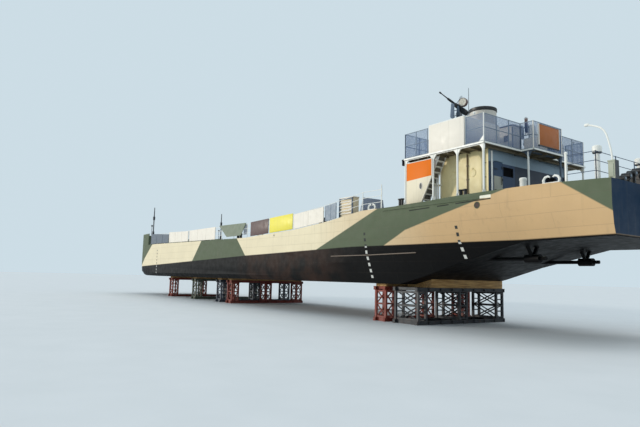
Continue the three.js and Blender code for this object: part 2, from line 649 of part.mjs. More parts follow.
function trestle(x, reach) {
  const { cap, beam, half, legs, leg } = TRESTLE;
  const [low, high] = [FLOOR + beam, cap - beam];
  const pieces = [
    box(x - reach, x + reach, -half, half, high, cap),
    box(x - reach, x + reach, -half, half, FLOOR, low),
  ];
  const middle = (low + high) / 2;
  for (const y of legs) {
    for (const side of [-1, 1]) {
      const edge = x + side * (reach - leg);
      pieces.push(box(edge - leg, edge + leg, y - 0.35, y + 0.35, low - 0.02, high + 0.02));
      for (const [from, to] of [[low, middle], [middle, high]]) {
        pieces.push(rod([edge, y, from], [x - side * (reach - leg), y, to], 0.06, 4));
      }
    }
  }
  return join(pieces);
}

// Timber between the bottom and the trestles; the aftmost one is cut to the rising bottom.
function timber(x, reach) {
  const [low, half] = [TRESTLE.cap + GAP, 3.6];
  if (x > 12) {
    return box(x - reach + 0.1, x + reach - 0.1, -half, half, low, -GAP);
  }
  const rise = 0.25;
  const aft = x - reach + 0.05;
  return profile([[x + reach, low], [x + reach, -0.01], [12.2, -0.01],
    [aft, (12.2 - aft) * rise - 0.02], [aft, low]], -half, 2.6);
}

function cradle() {
  TRESTLES.forEach(([x, reach, color], i) => {
    add(`trestle_${i + 1}`, trestle(x, reach), paint(color));
    add(`timber_${i + 1}`, timber(x, reach), paint(TIMBER, 0.9, 0));
  });
}

hull();
bowRamp();
bowGear();
deckhouse();
bridgeDeck();
bridgePosts();
screensAndLadder();
bridgeRail();
gunTubs();
guns();
bridgeGear();
sternGear();
kedgeGear();
sideRails();
cradle();

// The model stands on z = 0 with its box centred on the origin.
craft.updateMatrixWorld(true);
const bounds = new THREE.Box3().setFromObject(craft, true);
const middle = bounds.getCenter(new THREE.Vector3());
craft.position.set(-middle.x, -middle.y, -bounds.min.z).multiplyScalar(MODEL_MM_PER_METRE);
craft.scale.setScalar(MODEL_MM_PER_METRE);

export default craft;
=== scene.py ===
"""Looks of the landing craft: paint, fittings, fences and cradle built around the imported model.

Sizes and places are in metres of the real vessel: s forward from the transom, y to port and
k up from the flat bottom. place() turns such a point into the row frame of the 1:2 model.
"""

from math import cos, dist, hypot, pi, radians, sin
from types import SimpleNamespace

import bmesh
import bpy
from mathutils import Matrix, Vector


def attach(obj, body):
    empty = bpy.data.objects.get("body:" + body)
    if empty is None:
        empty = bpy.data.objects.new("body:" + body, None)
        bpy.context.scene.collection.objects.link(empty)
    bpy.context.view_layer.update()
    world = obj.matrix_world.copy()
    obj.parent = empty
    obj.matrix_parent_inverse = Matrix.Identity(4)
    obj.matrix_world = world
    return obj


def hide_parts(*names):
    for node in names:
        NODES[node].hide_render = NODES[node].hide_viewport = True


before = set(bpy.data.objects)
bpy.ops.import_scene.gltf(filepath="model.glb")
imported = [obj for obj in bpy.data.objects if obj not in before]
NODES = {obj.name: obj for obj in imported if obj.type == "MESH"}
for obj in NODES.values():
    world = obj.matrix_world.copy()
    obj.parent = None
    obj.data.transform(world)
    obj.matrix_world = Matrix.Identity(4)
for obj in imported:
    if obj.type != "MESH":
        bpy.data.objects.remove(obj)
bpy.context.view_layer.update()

# Row frame of the 1:2 model
MODEL_SCALE = 0.5
MIDDLE_S = 28.135
FLOOR = -2.15

# Photograph's camera: place as (s, y, k), turns as yaw, pitch and roll, focal length in pixels
# of the 640 x 427 frame, and the sensor's width
IMAGE_WIDTH = 640
CAMERA = SimpleNamespace(at=(-9.956, 24.811, 0.230), turns=(35.066, 6.779, 1.435), focal=541.24,
                         sensor=36.0)

# Main dimensions, as in the source of the solids
LENGTH = 57.07
AFT_DECK = 4.2
ON_DECK = AFT_DECK + 0.004
BREAK = 15.5
HOLD_HALF = 2.9
HOLD_FLOOR = 1.22
THROAT_HALF = 2.1
HULL_SIDE = 4.7
RAIL_Y = 4.58
QUARTER_POST = (1.82, 4.57)
BRIDGE = SimpleNamespace(aft=5.92, fore=11.25, half=4.4, under=6.72, top=6.78, beam=0.05)
ON_BRIDGE = BRIDGE.top + 0.004
FENCE_HIGH = 1.38
FENCE_POST_TOP = BRIDGE.top + 1.4
WING = SimpleNamespace(aft=5.2, port=1.55, starboard=-1.0)
WING_POSTS = [(5.58, 1.45), (5.3, -0.9)]
HOUSE = SimpleNamespace(aft=6.46, fore=9.9, half=3.4)
TUB = SimpleNamespace(aft=7.12, fore=9.44, outer=4.38, inner=1.6, top=8.27)
GUN = SimpleNamespace(s=8.6, y=2.95, k=9.35, table=8.35)
# Columns: name, side, train from the bow towards port and raise, in degrees
GUN_REST = [("port", 1, 12, 43), ("starboard", -1, -56, 36)]
DECK_EDGE = [(0, 4.2), (14.5, 4.2), (17.8, 3.82), (21.7, 3.52), (29.0, 3.29), (38.6, 3.4),
             (50.8, 3.57), (60, 3.57)]
# Edges sharper than SHARP stay hard, and those sharper than BEVELLED are softened
SHARP = radians(34)
BEVELLED = radians(50)
# Vertices nearer than this, in metres of the model, are joined
WELD_REACH = 0.00005
# A turned ring thinner than this is a single point
TIP = 1e-5
SKY = (0.74, 0.88, 0.96, 1)
SKY_STRENGTH = 0.82
FLOOR_REACH = 400


def place(point):
    s, y, k = point
    return Vector(((s - MIDDLE_S), y, k - FLOOR)) * MODEL_SCALE


def deck_at(s):
    for (s0, k0), (s1, k1) in zip(DECK_EDGE, DECK_EDGE[1:]):
        if s <= s1:
            return k0 + (k1 - k0) * (s - s0) / (s1 - s0)
    return DECK_EDGE[-1][1]


# Camera, floor and light

def show(thing):
    bpy.context.scene.collection.objects.link(thing)


def make_camera():
    yaw, pitch, roll = (radians(angle) for angle in CAMERA.turns)
    ahead = Vector((cos(yaw) * cos(pitch), -sin(yaw) * cos(pitch),
                    sin(pitch)))
    level = Vector((-sin(yaw), -cos(yaw), 0))
    upright = level.cross(ahead)
    right = cos(roll) * level + sin(roll) * upright
    up = cos(roll) * upright - sin(roll) * level
    data = bpy.data.cameras.new("camera")
    data.sensor_width = CAMERA.sensor
    data.lens = CAMERA.focal / IMAGE_WIDTH * CAMERA.sensor
    data.clip_end = 2000
    camera = bpy.data.objects.new("camera", data)
    matrix = Matrix((right, up, -ahead)).transposed().to_4x4()
    matrix.translation = place(CAMERA.at)
    camera.matrix_world = matrix
    show(camera)
    bpy.context.scene.camera = camera


def make_light(name, kind, direction, energy, colour, size):
    data = bpy.data.lights.new(name, kind)
    data.energy = energy
    data.color = colour
    data.angle = radians(size)
    light = bpy.data.objects.new(name, data)
    light.rotation_mode = "QUATERNION"
    light.rotation_quaternion = Vector(direction).to_track_quat("Z", "Y")
    show(light)


def make_stage():
    world = bpy.data.worlds.new("studio")
    world.use_nodes = True
    sky = world.node_tree.nodes["Background"]
    sky.inputs["Color"].default_value = SKY
    sky.inputs["Strength"].default_value = SKY_STRENGTH
    bpy.context.scene.world = world
    bpy.context.scene.view_settings.view_transform = "Standard"
    # Columns: name, where the light comes from, strength, colour, width in degrees
    for name, way, energy, colour, size in [
        ("key", (0.62, 0.75, 0.17), 1.7, (1.0, 0.93, 0.83), 4),
        ("top", (-0.1, -0.3, 0.95), 0.7, (0.95, 0.97, 1.0), 50),
    ]:
        make_light(name, "SUN", way, energy, colour, size)
    mesh = bpy.data.meshes.new("floor")
    far = FLOOR_REACH
    mesh.from_pydata([(-far, -far, 0), (far, -far, 0), (far, far, 0), (-far, far, 0)], [],
                     [(0, 1, 2, 3)])
    floor = bpy.data.objects.new("floor", mesh)
    show(floor)
    graph = Graph("floor")
    tone = graph.noise(0.6, 4)
    graph.colour(graph.mix(tone, srgb(206, 208, 209), srgb(216, 217, 218)))
    graph.rough(0.9)
    mesh.materials.append(graph.material)


# Materials

def srgb(red, green, blue):
    def linear(value):
        value /= 255
        return value / 12.92 if value <= 0.04045 else ((value + 0.055) / 1.055) ** 2.4
    return (linear(red), linear(green), linear(blue), 1.0)


def shade(colour, factor):
    return tuple(min(1, c * factor) for c in colour[:3]) + (1.0,)


SLOTS = {}


class Graph:
    """A material's nodes, fed from the place on the vessel in real metres.

    Pieces in this material go to the slot, unless they name another one.
    """

    def __init__(self, name, slot=None):
        self.material = bpy.data.materials.new(name)
        SLOTS[self.material.name] = slot
        self.material.use_nodes = True
        self.tree = self.material.node_tree
        self.shader = self.tree.nodes["Principled BSDF"]
        texture = self.node("ShaderNodeTexCoord")
        self.normal = texture.outputs["Normal"]
        mapping = self.node("ShaderNodeMapping")
        mapping.inputs["Scale"].default_value = (1 / MODEL_SCALE,) * 3
        mapping.inputs["Location"].default_value = (MIDDLE_S, 0, FLOOR)
        self.link(texture.outputs["Object"], mapping.inputs["Vector"])
        self.place = mapping.outputs["Vector"]
        self._axes = None

    def node(self, kind):
        return self.tree.nodes.new(kind)

    def link(self, value, socket):
        if isinstance(value, bpy.types.NodeSocket):
            self.tree.links.new(value, socket)
        else:
            socket.default_value = value

    def axes(self):
        if self._axes is None:
            split = self.node("ShaderNodeSeparateXYZ")
            self.link(self.place, split.inputs[0])
            self._axes = split.outputs
        return self._axes

    def math(self, operation, a, b=0.0, c=0.0, clamp=False):
        node = self.node("ShaderNodeMath")
        node.operation = operation
        node.use_clamp = clamp
        for socket, value in zip(node.inputs, (a, b, c)):
            self.link(value, socket)
        return node.outputs[0]

    def fit(self, value, low, high, start=0.0, end=1.0):
        node = self.node("ShaderNodeMapRange")
        for socket, given in zip(node.inputs, (value, low, high, start, end)):
            self.link(given, socket)
        return node.outputs[0]

    def mix(self, share, a, b, blend="MIX"):
        node = self.node("ShaderNodeMix")
        node.data_type = "RGBA"
        node.blend_type = blend
        for index, value in ((0, share), (6, a), (7, b)):
            self.link(value, node.inputs[index])
        return node.outputs[2]

    def noise(self, scale, detail=4, stretch=(1, 1, 1)):
        mapping = self.node("ShaderNodeMapping")
        mapping.inputs["Scale"].default_value = stretch
        self.link(self.place, mapping.inputs["Vector"])
        node = self.node("ShaderNodeTexNoise")
        self.link(mapping.outputs["Vector"], node.inputs["Vector"])
        self.link(scale, node.inputs["Scale"])
        self.link(detail, node.inputs["Detail"])
        return node.outputs[0]

    def side(self, p, q, soft=0.05):
        """1 on the left of the line from p to q, seen from port with s to the right."""
        (s0, k0), (s1, k1) = p, q
        length = hypot(s1 - s0, k1 - k0)
        along = -(k1 - k0) / length
        up = (s1 - s0) / length
        s, _, k = self.axes()
        reach = self.math("MULTIPLY_ADD", s, along, -(along * s0 + up * k0))
        reach = self.math("MULTIPLY_ADD", k, up, reach)
        return self.fit(reach, -soft / 2, soft / 2)

    def gather(self, operation, masks):
        result = masks[0]
        for mask in masks[1:]:
            result = self.math(operation, result, mask)
        return result

    def all_of(self, *masks):
        return self.gather("MINIMUM", masks)

    def any_of(self, *masks):
        return self.gather("MAXIMUM", masks)

    def band(self, value, low, high, soft=0.01):
        return self.all_of(self.fit(value, low - soft, low + soft),
                           self.fit(value, high + soft, high - soft))

    def edges(self, radius):
        """1 along the sharp edges of the shape."""
        bevel = self.node("ShaderNodeBevel")
        bevel.samples = 4
        bevel.inputs["Radius"].default_value = radius
        geometry = self.node("ShaderNodeNewGeometry")
        dot = self.node("ShaderNodeVectorMath")
        dot.operation = "DOT_PRODUCT"
        self.link(bevel.outputs[0], dot.inputs[0])
        self.link(geometry.outputs["Normal"], dot.inputs[1])
        return self.fit(dot.outputs["Value"], 0.98, 0.9)

    def colour(self, value):
        self.link(value, self.shader.inputs["Base Color"])

    def rough(self, value):
        self.link(value, self.shader.inputs["Roughness"])

    def specular(self, value):
        self.shader.inputs["Specular IOR Level"].default_value = value

    def finish(self, tone, rough):
        """Sets colour and roughness with a fine grain, and hands the material over."""
        self.colour(tone)
        self.rough(rough)
        self.bump(self.noise(45, 3), 0.12, 0.004)
        return self.material

    def bump(self, height, strength, distance=0.01):
        node = self.node("ShaderNodeBump")
        self.link(height, node.inputs["Height"])
        node.inputs["Strength"].default_value = strength
        node.inputs["Distance"].default_value = distance
        self.link(node.outputs[0], self.shader.inputs["Normal"])


def weathered(graph, colour, fade=0.1, streak=0.2):
    """Paint colour with faded clouds, rain streaks and fine dirt."""
    clouds = graph.fit(graph.noise(0.7, 5), 0.35, 0.68)
    tone = graph.mix(graph.math("MULTIPLY", clouds, fade), colour, (0.12, 0.11, 0.1, 1))
    runs = graph.fit(graph.noise(5.5, 3, (1, 1, 0.07)), 0.55, 0.8, 0, streak)
    tone = graph.mix(runs, tone, shade((0.3, 0.25, 0.18, 1), 0.5))
    speck = graph.fit(graph.noise(22, 4), 0.62, 0.75, 0, fade)
    return graph.mix(speck, tone, (0.2, 0.17, 0.13, 1))


def painted(name, slot, colour, rough=0.55, fade=0.1, streak=0.2, rust=0.0):
    graph = Graph(name, slot)
    tone = weathered(graph, srgb(*colour), fade, streak)
    if rust:
        worn = graph.math("MULTIPLY", graph.edges(0.006),
                          graph.fit(graph.noise(9, 5), 0.42, 0.62))
        spots = graph.fit(graph.noise(3.2, 7), 0.66 - rust * 0.25, 0.74)
        bare = graph.math("MULTIPLY", graph.any_of(worn, spots), min(1, rust * 1.6))
        tone = graph.mix(bare, tone, srgb(96, 52, 30))
    return graph.finish(tone, graph.fit(graph.noise(3, 3), 0.3, 0.7, rough - 0.1, rough + 0.12))


CREAM = srgb(236, 222, 190)
PEACH = srgb(204, 170, 126)
HULL_GREEN = srgb(91, 101, 79)
BOOT = srgb(9, 9, 10)


def hull_patches(graph, s, half):
    """Grey-green patches; each straight edge runs from one (s, k) point to another."""
    stern = graph.side((-0.05, 2.93), (1.85, 4.18))
    band = graph.all_of(
        graph.side((18.95, 2.08), (13.2, 4.15)),
        graph.any_of(graph.side((5.3, 4.16), (10.95, 2.87)),
                     graph.side((10.95, 2.87), (12.6, 2.17))))
    middle = graph.all_of(graph.side((30.74, 3.42), (28.99, 1.86)),
                          graph.side((39.87, 1.63), (37.82, 3.52)))
    bow = graph.side((52.25, 3.51), (55.9, 1.23))
    strake = graph.all_of(graph.fit(half, 4.705, 4.71), graph.fit(s, 13, 12.9))
    return graph.any_of(stern, band, middle, bow, strake)


def stern_marks(graph, tone, s, half, k):
    """Pale end of the top strake, and painted shadow in dashes under the deck's edge."""
    beside = graph.fit(half, 4.55, 4.6)
    strake_end = graph.all_of(beside, graph.band(s, 5.36, 5.93), graph.band(k, 4.02, 4.16))
    tone = graph.mix(strake_end, tone, srgb(240, 234, 216))
    # Painted shadow: dark dashes where the top strake shades the plating below it
    strake_shadow = graph.any_of(graph.band(s, 5.36, 7.39), graph.band(s, 7.82, 8.57),
                          graph.band(s, 9.08, 10.53))
    level = graph.math("MULTIPLY_ADD", s, 0.0215, k)
    strake_shadow = graph.all_of(strake_shadow, graph.band(level, 4.065, 4.12), beside)
    return graph.mix(strake_shadow, tone, srgb(44, 48, 42))


def hull_seams(graph, s, k):
    """Long laps and staggered butts of the plating."""
    plates = graph.node("ShaderNodeTexBrick")
    flat = graph.node("ShaderNodeCombineXYZ")
    graph.link(s, flat.inputs[0])
    graph.link(k, flat.inputs[1])
    graph.link(flat.outputs[0], plates.inputs["Vector"])
    for name, value in (("Scale", 1.0), ("Mortar Size", 0.012), ("Mortar Smooth", 0.3),
                        ("Brick Width", 4.9), ("Row Height", 0.62)):
        plates.inputs[name].default_value = value
    return plates.outputs["Fac"]


def black_bottom(graph, seam, s):
    """Black paint, with painted sunlight amidships in brown patches."""
    # Painted sunlight: a brown band amidships, broken into patches, stands for sun on the black
    # paint
    worn = graph.math("MULTIPLY", graph.band(s, 17.5, 29, 1.5), 0.85)
    worn = graph.math("MULTIPLY", worn, graph.fit(graph.noise(0.8, 6), 0.35, 0.6))
    dark = graph.mix(worn, BOOT, srgb(50, 33, 25))
    return graph.mix(graph.math("MULTIPLY", seam, 0.1), dark, srgb(60, 48, 40))


def draft_marks(graph, s, half, k):
    """Plain ticks in three columns."""
    pitch, tick, lowest, lean = 0.353, 0.2, 0.26, -0.02
    raked = graph.math("MULTIPLY_ADD", k, -lean, s)
    columns = [graph.band(s, 14.09, 14.25), graph.band(raked, 7.556, 7.716),
               graph.band(s, 50.2, 50.34)]
    steps = graph.math("FRACT", graph.math("DIVIDE", graph.math("SUBTRACT", k, lowest), pitch))
    return graph.all_of(graph.any_of(*columns), graph.band(steps, 0.04, tick / pitch, 0.04),
                        graph.band(k, 0.3, 2.9), graph.fit(half, 3.2, 3.3))


def inner_faces(graph, tone, s, half, k):
    """Transom painted dark blue and breakwater blue-grey as they look in shade, grey decks and pale
    load space.
    """
    split = graph.node("ShaderNodeSeparateXYZ")
    graph.link(graph.normal, split.inputs[0])
    ahead, _, upward = split.outputs
    transom = graph.all_of(graph.fit(ahead, -0.85, -0.95), graph.fit(s, 0.6, 0.5),
                           graph.fit(k, 2.1, 2.15))
    deck = graph.all_of(graph.fit(upward, 0.8, 0.9), graph.fit(k, 1.1, 1.15))
    in_hold = graph.all_of(graph.fit(half, HOLD_HALF + 0.03, HOLD_HALF + 0.01),
                           graph.fit(s, BREAK - 0.01, BREAK), graph.fit(k, 1.19, 1.2),
                           graph.fit(s, LENGTH - 0.1, LENGTH - 0.15),
                           graph.fit(upward, 0.5, 0.4))
    breakwater = graph.all_of(graph.band(s, 14.4, 15.1), graph.fit(k, 4.23, 4.25))
    # Painted shade: the aft-facing transom and breakwater are coloured in the blues they show in
    # shade
    for mask, colour, fade, streak in [
        (transom, (22, 46, 70), 0.1, 0.2), (deck, (92, 96, 92), 0.25, 0.0),
        (in_hold, (196, 188, 168), 0.2, 0.35), (breakwater, (150, 160, 180), 0.1, 0.2),
    ]:
        tone = graph.mix(mask, tone, weathered(graph, srgb(*colour), fade, streak))
    return tone


def hull_material():
    """Cream hull with grey-green patches over a black bottom, with laps and butts of plating."""
    graph = Graph("hull_camouflage", "hull_paint")
    s, y, k = graph.axes()
    half = graph.math("ABSOLUTE", y)
    sand = graph.mix(graph.fit(s, 9, 19), PEACH, CREAM)
    tone = graph.mix(hull_patches(graph, s, half), weathered(graph, sand, 0.07, 0.16),
                     weathered(graph, HULL_GREEN, 0.1, 0.16))
    tone = stern_marks(graph, tone, s, half, k)
    seam = hull_seams(graph, s, k)
    tone = graph.mix(graph.math("MULTIPLY", seam, 0.22), tone, (0.16, 0.13, 0.1, 1))
    boot = graph.all_of(graph.side((20, 2.12), (0, 2.12)), graph.side((29, 1.85), (15, 2.13)),
                        graph.side((46.9, 1.34), (29, 1.85)))
    tone = graph.mix(boot, tone, black_bottom(graph, seam, s))
    # Marks are white on the black bottom and dark above it
    ink = graph.mix(boot, srgb(58, 60, 58), srgb(206, 206, 200))
    tone = graph.mix(draft_marks(graph, s, half, k), tone, ink)
    graph.colour(inner_faces(graph, tone, s, half, k))

    graph.rough(graph.fit(graph.noise(2.5, 3), 0.3, 0.7, 0.5, 0.68))
    graph.specular(0.12)
    dents = graph.math("MULTIPLY", graph.noise(0.9, 2, (0.5, 0.5, 1.4)), 0.8)
    relief = graph.math("ADD", graph.math("MULTIPLY", seam, -0.5), dents)
    graph.bump(graph.math("MULTIPLY_ADD", graph.noise(40, 3), 0.05, relief), 0.35, 0.02)
    return graph.material


def screen_material():
    """Orange upper part over a cream lower part."""
    graph = Graph("screen_paint")
    upper = graph.side((9.18, 5.62), (11.03, 5.53), 0.02)
    graph.specular(0.15)
    return graph.finish(graph.mix(upper, weathered(graph, srgb(236, 224, 198), 0.08, 0.2),
                                  weathered(graph, srgb(232, 114, 0), 0.03, 0.1)), 0.5)


def aft_wall_material():
    """Pale upper strake over slate blue, partly painted shade and darker to starboard, with the
    side walls' cream ends.
    """
    graph = Graph("aft_wall_paint")
    y, k = graph.axes()[1:]
    # Slate blue paint darkened as painted shade, as the aft-facing wall looks out of the sun
    lower = graph.mix(graph.fit(y, 1.28, 1.32), srgb(28, 42, 62), srgb(44, 66, 96))
    tone = graph.mix(graph.fit(k, 6.07, 6.09), weathered(graph, lower, 0.12, 0.2),
                     weathered(graph, srgb(140, 160, 174), 0.1, 0.2))
    end = graph.fit(graph.math("ABSOLUTE", y), 3.396, 3.399)
    return graph.finish(graph.mix(end, tone, srgb(240, 222, 168)), 0.55)


def door_material():
    """Grey lower half under slate blue, partly painted shade like the wall around it."""
    graph = Graph("door_paint")
    upper = graph.fit(graph.axes()[2], 5.39, 5.41)
    # The upper slate blue is darkened as painted shade, like the aft wall
    return graph.finish(graph.mix(upper, weathered(graph, srgb(176, 174, 160), 0.1, 0.2),
                                  weathered(graph, srgb(48, 72, 100), 0.12, 0.2)), 0.55)


def timber_material():
    graph = Graph("baulk_timber", "timber")
    grain = graph.noise(4, 6, (4, 0.25, 4))
    fine = graph.noise(16, 4, (5, 0.2, 5))
    tone = graph.mix(graph.fit(grain, 0.35, 0.65), srgb(150, 112, 66), srgb(196, 156, 100))
    tone = graph.mix(graph.fit(fine, 0.55, 0.75, 0, 0.6), tone, srgb(88, 62, 40))
    tone = graph.mix(graph.fit(graph.noise(1.4, 4), 0.5, 0.8, 0, 0.5), tone, srgb(96, 88, 78))
    graph.colour(tone)
    graph.rough(0.85)
    graph.bump(fine, 0.5, 0.006)
    return graph.material


def glass_material():
    graph = Graph("dark_glass", "dark_paint")
    graph.colour(graph.mix(graph.noise(2, 2), srgb(14, 18, 22), srgb(30, 38, 44)))
    graph.rough(0.08)
    graph.specular(0.8)
    return graph.material


def matt_black():
    graph = Graph("matt_black", "dark_paint")
    graph.colour(graph.mix(graph.noise(3, 3), srgb(6, 6, 10), srgb(14, 13, 17)))
    graph.rough(0.8)
    graph.specular(0.1)
    return graph.material


def gun_material():
    graph = Graph("blackened_steel", "gun_metal")
    worn = graph.math("MULTIPLY", graph.edges(0.004), 0.6)
    base = graph.mix(graph.fit(graph.noise(6, 5), 0.4, 0.7), srgb(24, 27, 31), srgb(44, 47, 50))
    graph.colour(graph.mix(worn, base, srgb(120, 120, 118)))
    graph.rough(graph.fit(graph.noise(8, 3), 0.3, 0.7, 0.3, 0.5))
    graph.shader.inputs["Metallic"].default_value = 0.75
    graph.bump(graph.noise(60, 3), 0.1, 0.002)
    return graph.material


# Shapes

def span(middle, half):
    return middle - half, middle + half


def spread(start, end, count):
    return [start + (end - start) * n / (count - 1) for n in range(count)]


def between(p, q, count):
    """Points evenly spaced from p to q, both ends included."""
    return list(zip(*(spread(a, b, count) for a, b in zip(p, q))))


def full_turn(count):
    return [2 * pi * n / count for n in range(count)]


def arc(at, radius, angles, axis=1, tall=None):
    """Points at angles round a circle across the axis; tall makes an upright oval of it."""
    first, second = (i for i in range(3) if i != axis)
    points = []
    for angle in angles:
        point = list(at)
        point[first] += radius * cos(angle)
        point[second] += (tall or radius) * sin(angle)
        points.append(point)
    return points


class Shape:
    """Faces gathered in real metres, to become one piece."""

    def __init__(self):
        self.verts = []
        self.faces = []

    def add(self, verts, faces):
        start = len(self.verts)
        self.verts += [Vector(v) for v in verts]
        self.faces += [[start + i for i in face] for face in faces]
        return self

    def merge(self, other, matrix=None):
        return self.add([matrix @ v for v in other.verts] if matrix else other.verts,
                        other.faces)

    def box(self, s, y, k):
        corners = [(a, b, c) for c in k for b in y for a in s]
        return self.add(corners, [(0, 2, 3, 1), (4, 5, 7, 6), (0, 1, 5, 4), (2, 6, 7, 3),
                                  (0, 4, 6, 2), (1, 3, 7, 5)])

    def prism(self, outline, axis, low, high):
        """An outline of points in the two other axes, drawn out along axis 0, 1 or 2."""
        def lift(point, depth):
            whole = list(point)
            whole.insert(axis, depth)
            return whole
        count = len(outline)
        verts = [lift(p, low) for p in outline] + [lift(p, high) for p in outline]
        sides = [(i, (i + 1) % count, (i + 1) % count + count, i + count) for i in range(count)]
        return self.add(verts, [list(range(count)), list(range(count, 2 * count)), *sides])

    def rings(self, rings, closed=False):
        """A skin over rings of points; a ring of one point closes to a tip."""
        verts, starts = [], []
        for ring in rings:
            starts.append(len(verts))
            verts += ring
        faces = []
        pairs = list(zip(range(len(rings)), range(1, len(rings))))
        if closed:
            pairs.append((len(rings) - 1, 0))
        for i, j in pairs:
            a, b = len(rings[i]), len(rings[j])
            for n in range(max(a, b)):
                m = (n + 1) % max(a, b)
                face = [starts[i] + n % a, starts[i] + m % a, starts[j] + m % b, starts[j] + n % b]
                faces.append(list(dict.fromkeys(face)))
        if not closed:
            for i in (0, len(rings) - 1):
                if len(rings[i]) > 2:
                    faces.append([starts[i] + n for n in range(len(rings[i]))])
        return self.add(verts, faces)

    def pipe(self, points, radius, sides=10, closed=False):
        """A round bar along points; radius is one number or one for each point."""
        points = [Vector(p) for p in points]
        radii = radius if isinstance(radius, (list, tuple)) else [radius] * len(points)
        rings, across = [], None
        for i, point in enumerate(points):
            before = points[i - 1] if i or closed else point
            after = points[(i + 1) % len(points)] if i + 1 < len(points) or closed else point
            way = (after - before).normalized()
            if across is None:
                spare = Vector((0, 0, 1)) if abs(way.z) < 0.9 else Vector((1, 0, 0))
                across = way.cross(spare).normalized()
            across = (across - way * across.dot(way)).normalized()
            other = way.cross(across)
            rings.append([point + radii[i] * (cos(a) * across + sin(a) * other)
                          for a in full_turn(sides)])
        return self.rings(rings, closed)

    def post(self, foot, top, radius, sides):
        """A round bar that stands on the point foot."""
        return self.pipe([foot, (*foot[:2], top)], radius, sides)

    def hoop(self, at, radius, count, thick, sides=8, axis=1, tall=None):
        """A closed ring of round bar about a line along axis."""
        return self.pipe(arc(at, radius, full_turn(count), axis, tall), thick, sides, True)

    def turned(self, points, at, sides=32, axis=2):
        """A turned shape from (radius, height) points about a line along axis."""
        centre = Vector(at)
        rings = []
        for radius, height in points:
            ring = []
            for angle in full_turn(sides)[:1 if radius < TIP else sides]:
                offset = [radius * cos(angle), radius * sin(angle)]
                offset.insert(axis, height)
                ring.append(centre + Vector(offset))
            rings.append(ring)
        return self.rings(rings)

    def disc(self, radius, low, high, at=(0, 0, 0), sides=20, axis=2):
        """A round plate or stub between two heights along axis."""
        return self.turned([(0, low), (radius, low), (radius, high), (0, high)], at, sides, axis)

    def bolts(self, places, radius, height, axis=2):
        for at in places:
            self.turned([(0, 0), (radius, 0), (radius, height * 0.7), (radius * 0.7, height),
                         (0, height)], at, 6, axis)
        return self


MIRROR = Matrix.Scale(-1, 4, (0, 1, 0))


def mirrored(shape):
    return Shape().merge(shape, MIRROR)


def both_sides(shape):
    """The shape and its mirror image on the other side."""
    return Shape().merge(shape).merge(shape, MIRROR)


def piece(name, shape, material, body="craft", replaces=(), slot=None, bevel=0.0):
    slot = slot or SLOTS[material.name]
    mesh = bpy.data.meshes.new(name)
    mesh.from_pydata([place(v) for v in shape.verts], [], shape.faces)
    work = bmesh.new()
    work.from_mesh(mesh)
    bmesh.ops.recalc_face_normals(work, faces=work.faces)
    work.to_mesh(mesh)
    work.free()
    mesh.materials.append(material)
    mesh.shade_smooth()
    mesh.set_sharp_from_angle(angle=SHARP)
    made = bpy.data.objects.new(name, mesh)
    show(made)
    if bevel:
        soften(made, bevel)
    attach(made, body)
    if replaces:
        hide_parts(*replaces)


def soften(target, width):
    bevel = target.modifiers.new("soft_edges", "BEVEL")
    bevel.width = width * MODEL_SCALE
    bevel.segments = 2
    bevel.limit_method = "ANGLE"
    bevel.angle_limit = BEVELLED
    bevel.harden_normals = True


def smooth_group():
    """Nodes that shade a mesh smooth, apart from its edges sharper than SHARP."""
    group = bpy.data.node_groups.new("smooth_by_angle", "GeometryNodeTree")
    group.interface.new_socket("Geometry", in_out="INPUT", socket_type="NodeSocketGeometry")
    group.interface.new_socket("Geometry", in_out="OUTPUT", socket_type="NodeSocketGeometry")
    start = group.nodes.new("NodeGroupInput")
    end = group.nodes.new("NodeGroupOutput")
    angle = group.nodes.new("GeometryNodeInputMeshEdgeAngle")
    sharper = group.nodes.new("FunctionNodeCompare")
    sharper.inputs[1].default_value = SHARP
    normal = group.nodes.new("GeometryNodeSetMeshNormal")
    normal.inputs["Remove Custom"].default_value = True
    group.links.new(start.outputs[0], normal.inputs["Mesh"])
    group.links.new(angle.outputs["Unsigned Angle"], sharper.inputs[0])
    group.links.new(sharper.outputs[0], normal.inputs["Edge Sharpness"])
    group.links.new(normal.outputs[0], end.inputs[0])
    return group


SMOOTH = smooth_group()


def dress(material, *names, bevel=0.0):
    """Gives solids their material, with their faces joined and shaded smooth."""
    for name in names:
        node = NODES[name]
        node.data.materials.clear()
        node.data.materials.append(material)
        weld = node.modifiers.new("weld", "WELD")
        weld.merge_threshold = WELD_REACH
        if bevel:
            soften(node, bevel)
        node.modifiers.new("smooth_by_angle", "NODES").node_group = SMOOTH


def pair(name):
    return f"{name}_port", f"{name}_starboard"


make_camera()
make_stage()

hull_paint = hull_material()
# Columns: name, slot, colour, roughness, fading, streaks, rust
cream = painted("cream_paint", "cream_paint", (238, 229, 215), 0.55, 0.08, 0.2)
funnel_paint = painted("funnel_paint", "cream_paint", (206, 200, 190), 0.5, 0.12, 0.25)
wall_cream = painted("deckhouse_cream", "cream_paint", (240, 222, 168), 0.55, 0.12, 0.3)
white = painted("white_paint", "white_paint", (238, 236, 228), 0.45, 0.06, 0.15)
blue_grey = painted("blue_grey_paint", "blue_grey_paint", (126, 140, 154), 0.5, 0.12, 0.25)
slate = painted("slate_paint", "blue_grey_paint", (74, 90, 106), 0.5, 0.15, 0.25)
dark = painted("dark_paint", "dark_paint", (40, 46, 52), 0.5, 0.15, 0.1)
black = painted("black_paint", "dark_paint", (22, 23, 25), 0.45, 0.1, 0.1)
window_black = matt_black()
green = painted("green_paint", "green_paint", (118, 128, 108), 0.6, 0.12, 0.2)
orange = painted("orange_paint", "orange_paint", (174, 92, 12), 0.5, 0.1, 0.15)
yellow = painted("yellow_paint", "yellow_paint", (244, 228, 84), 0.5, 0.05, 0.1)
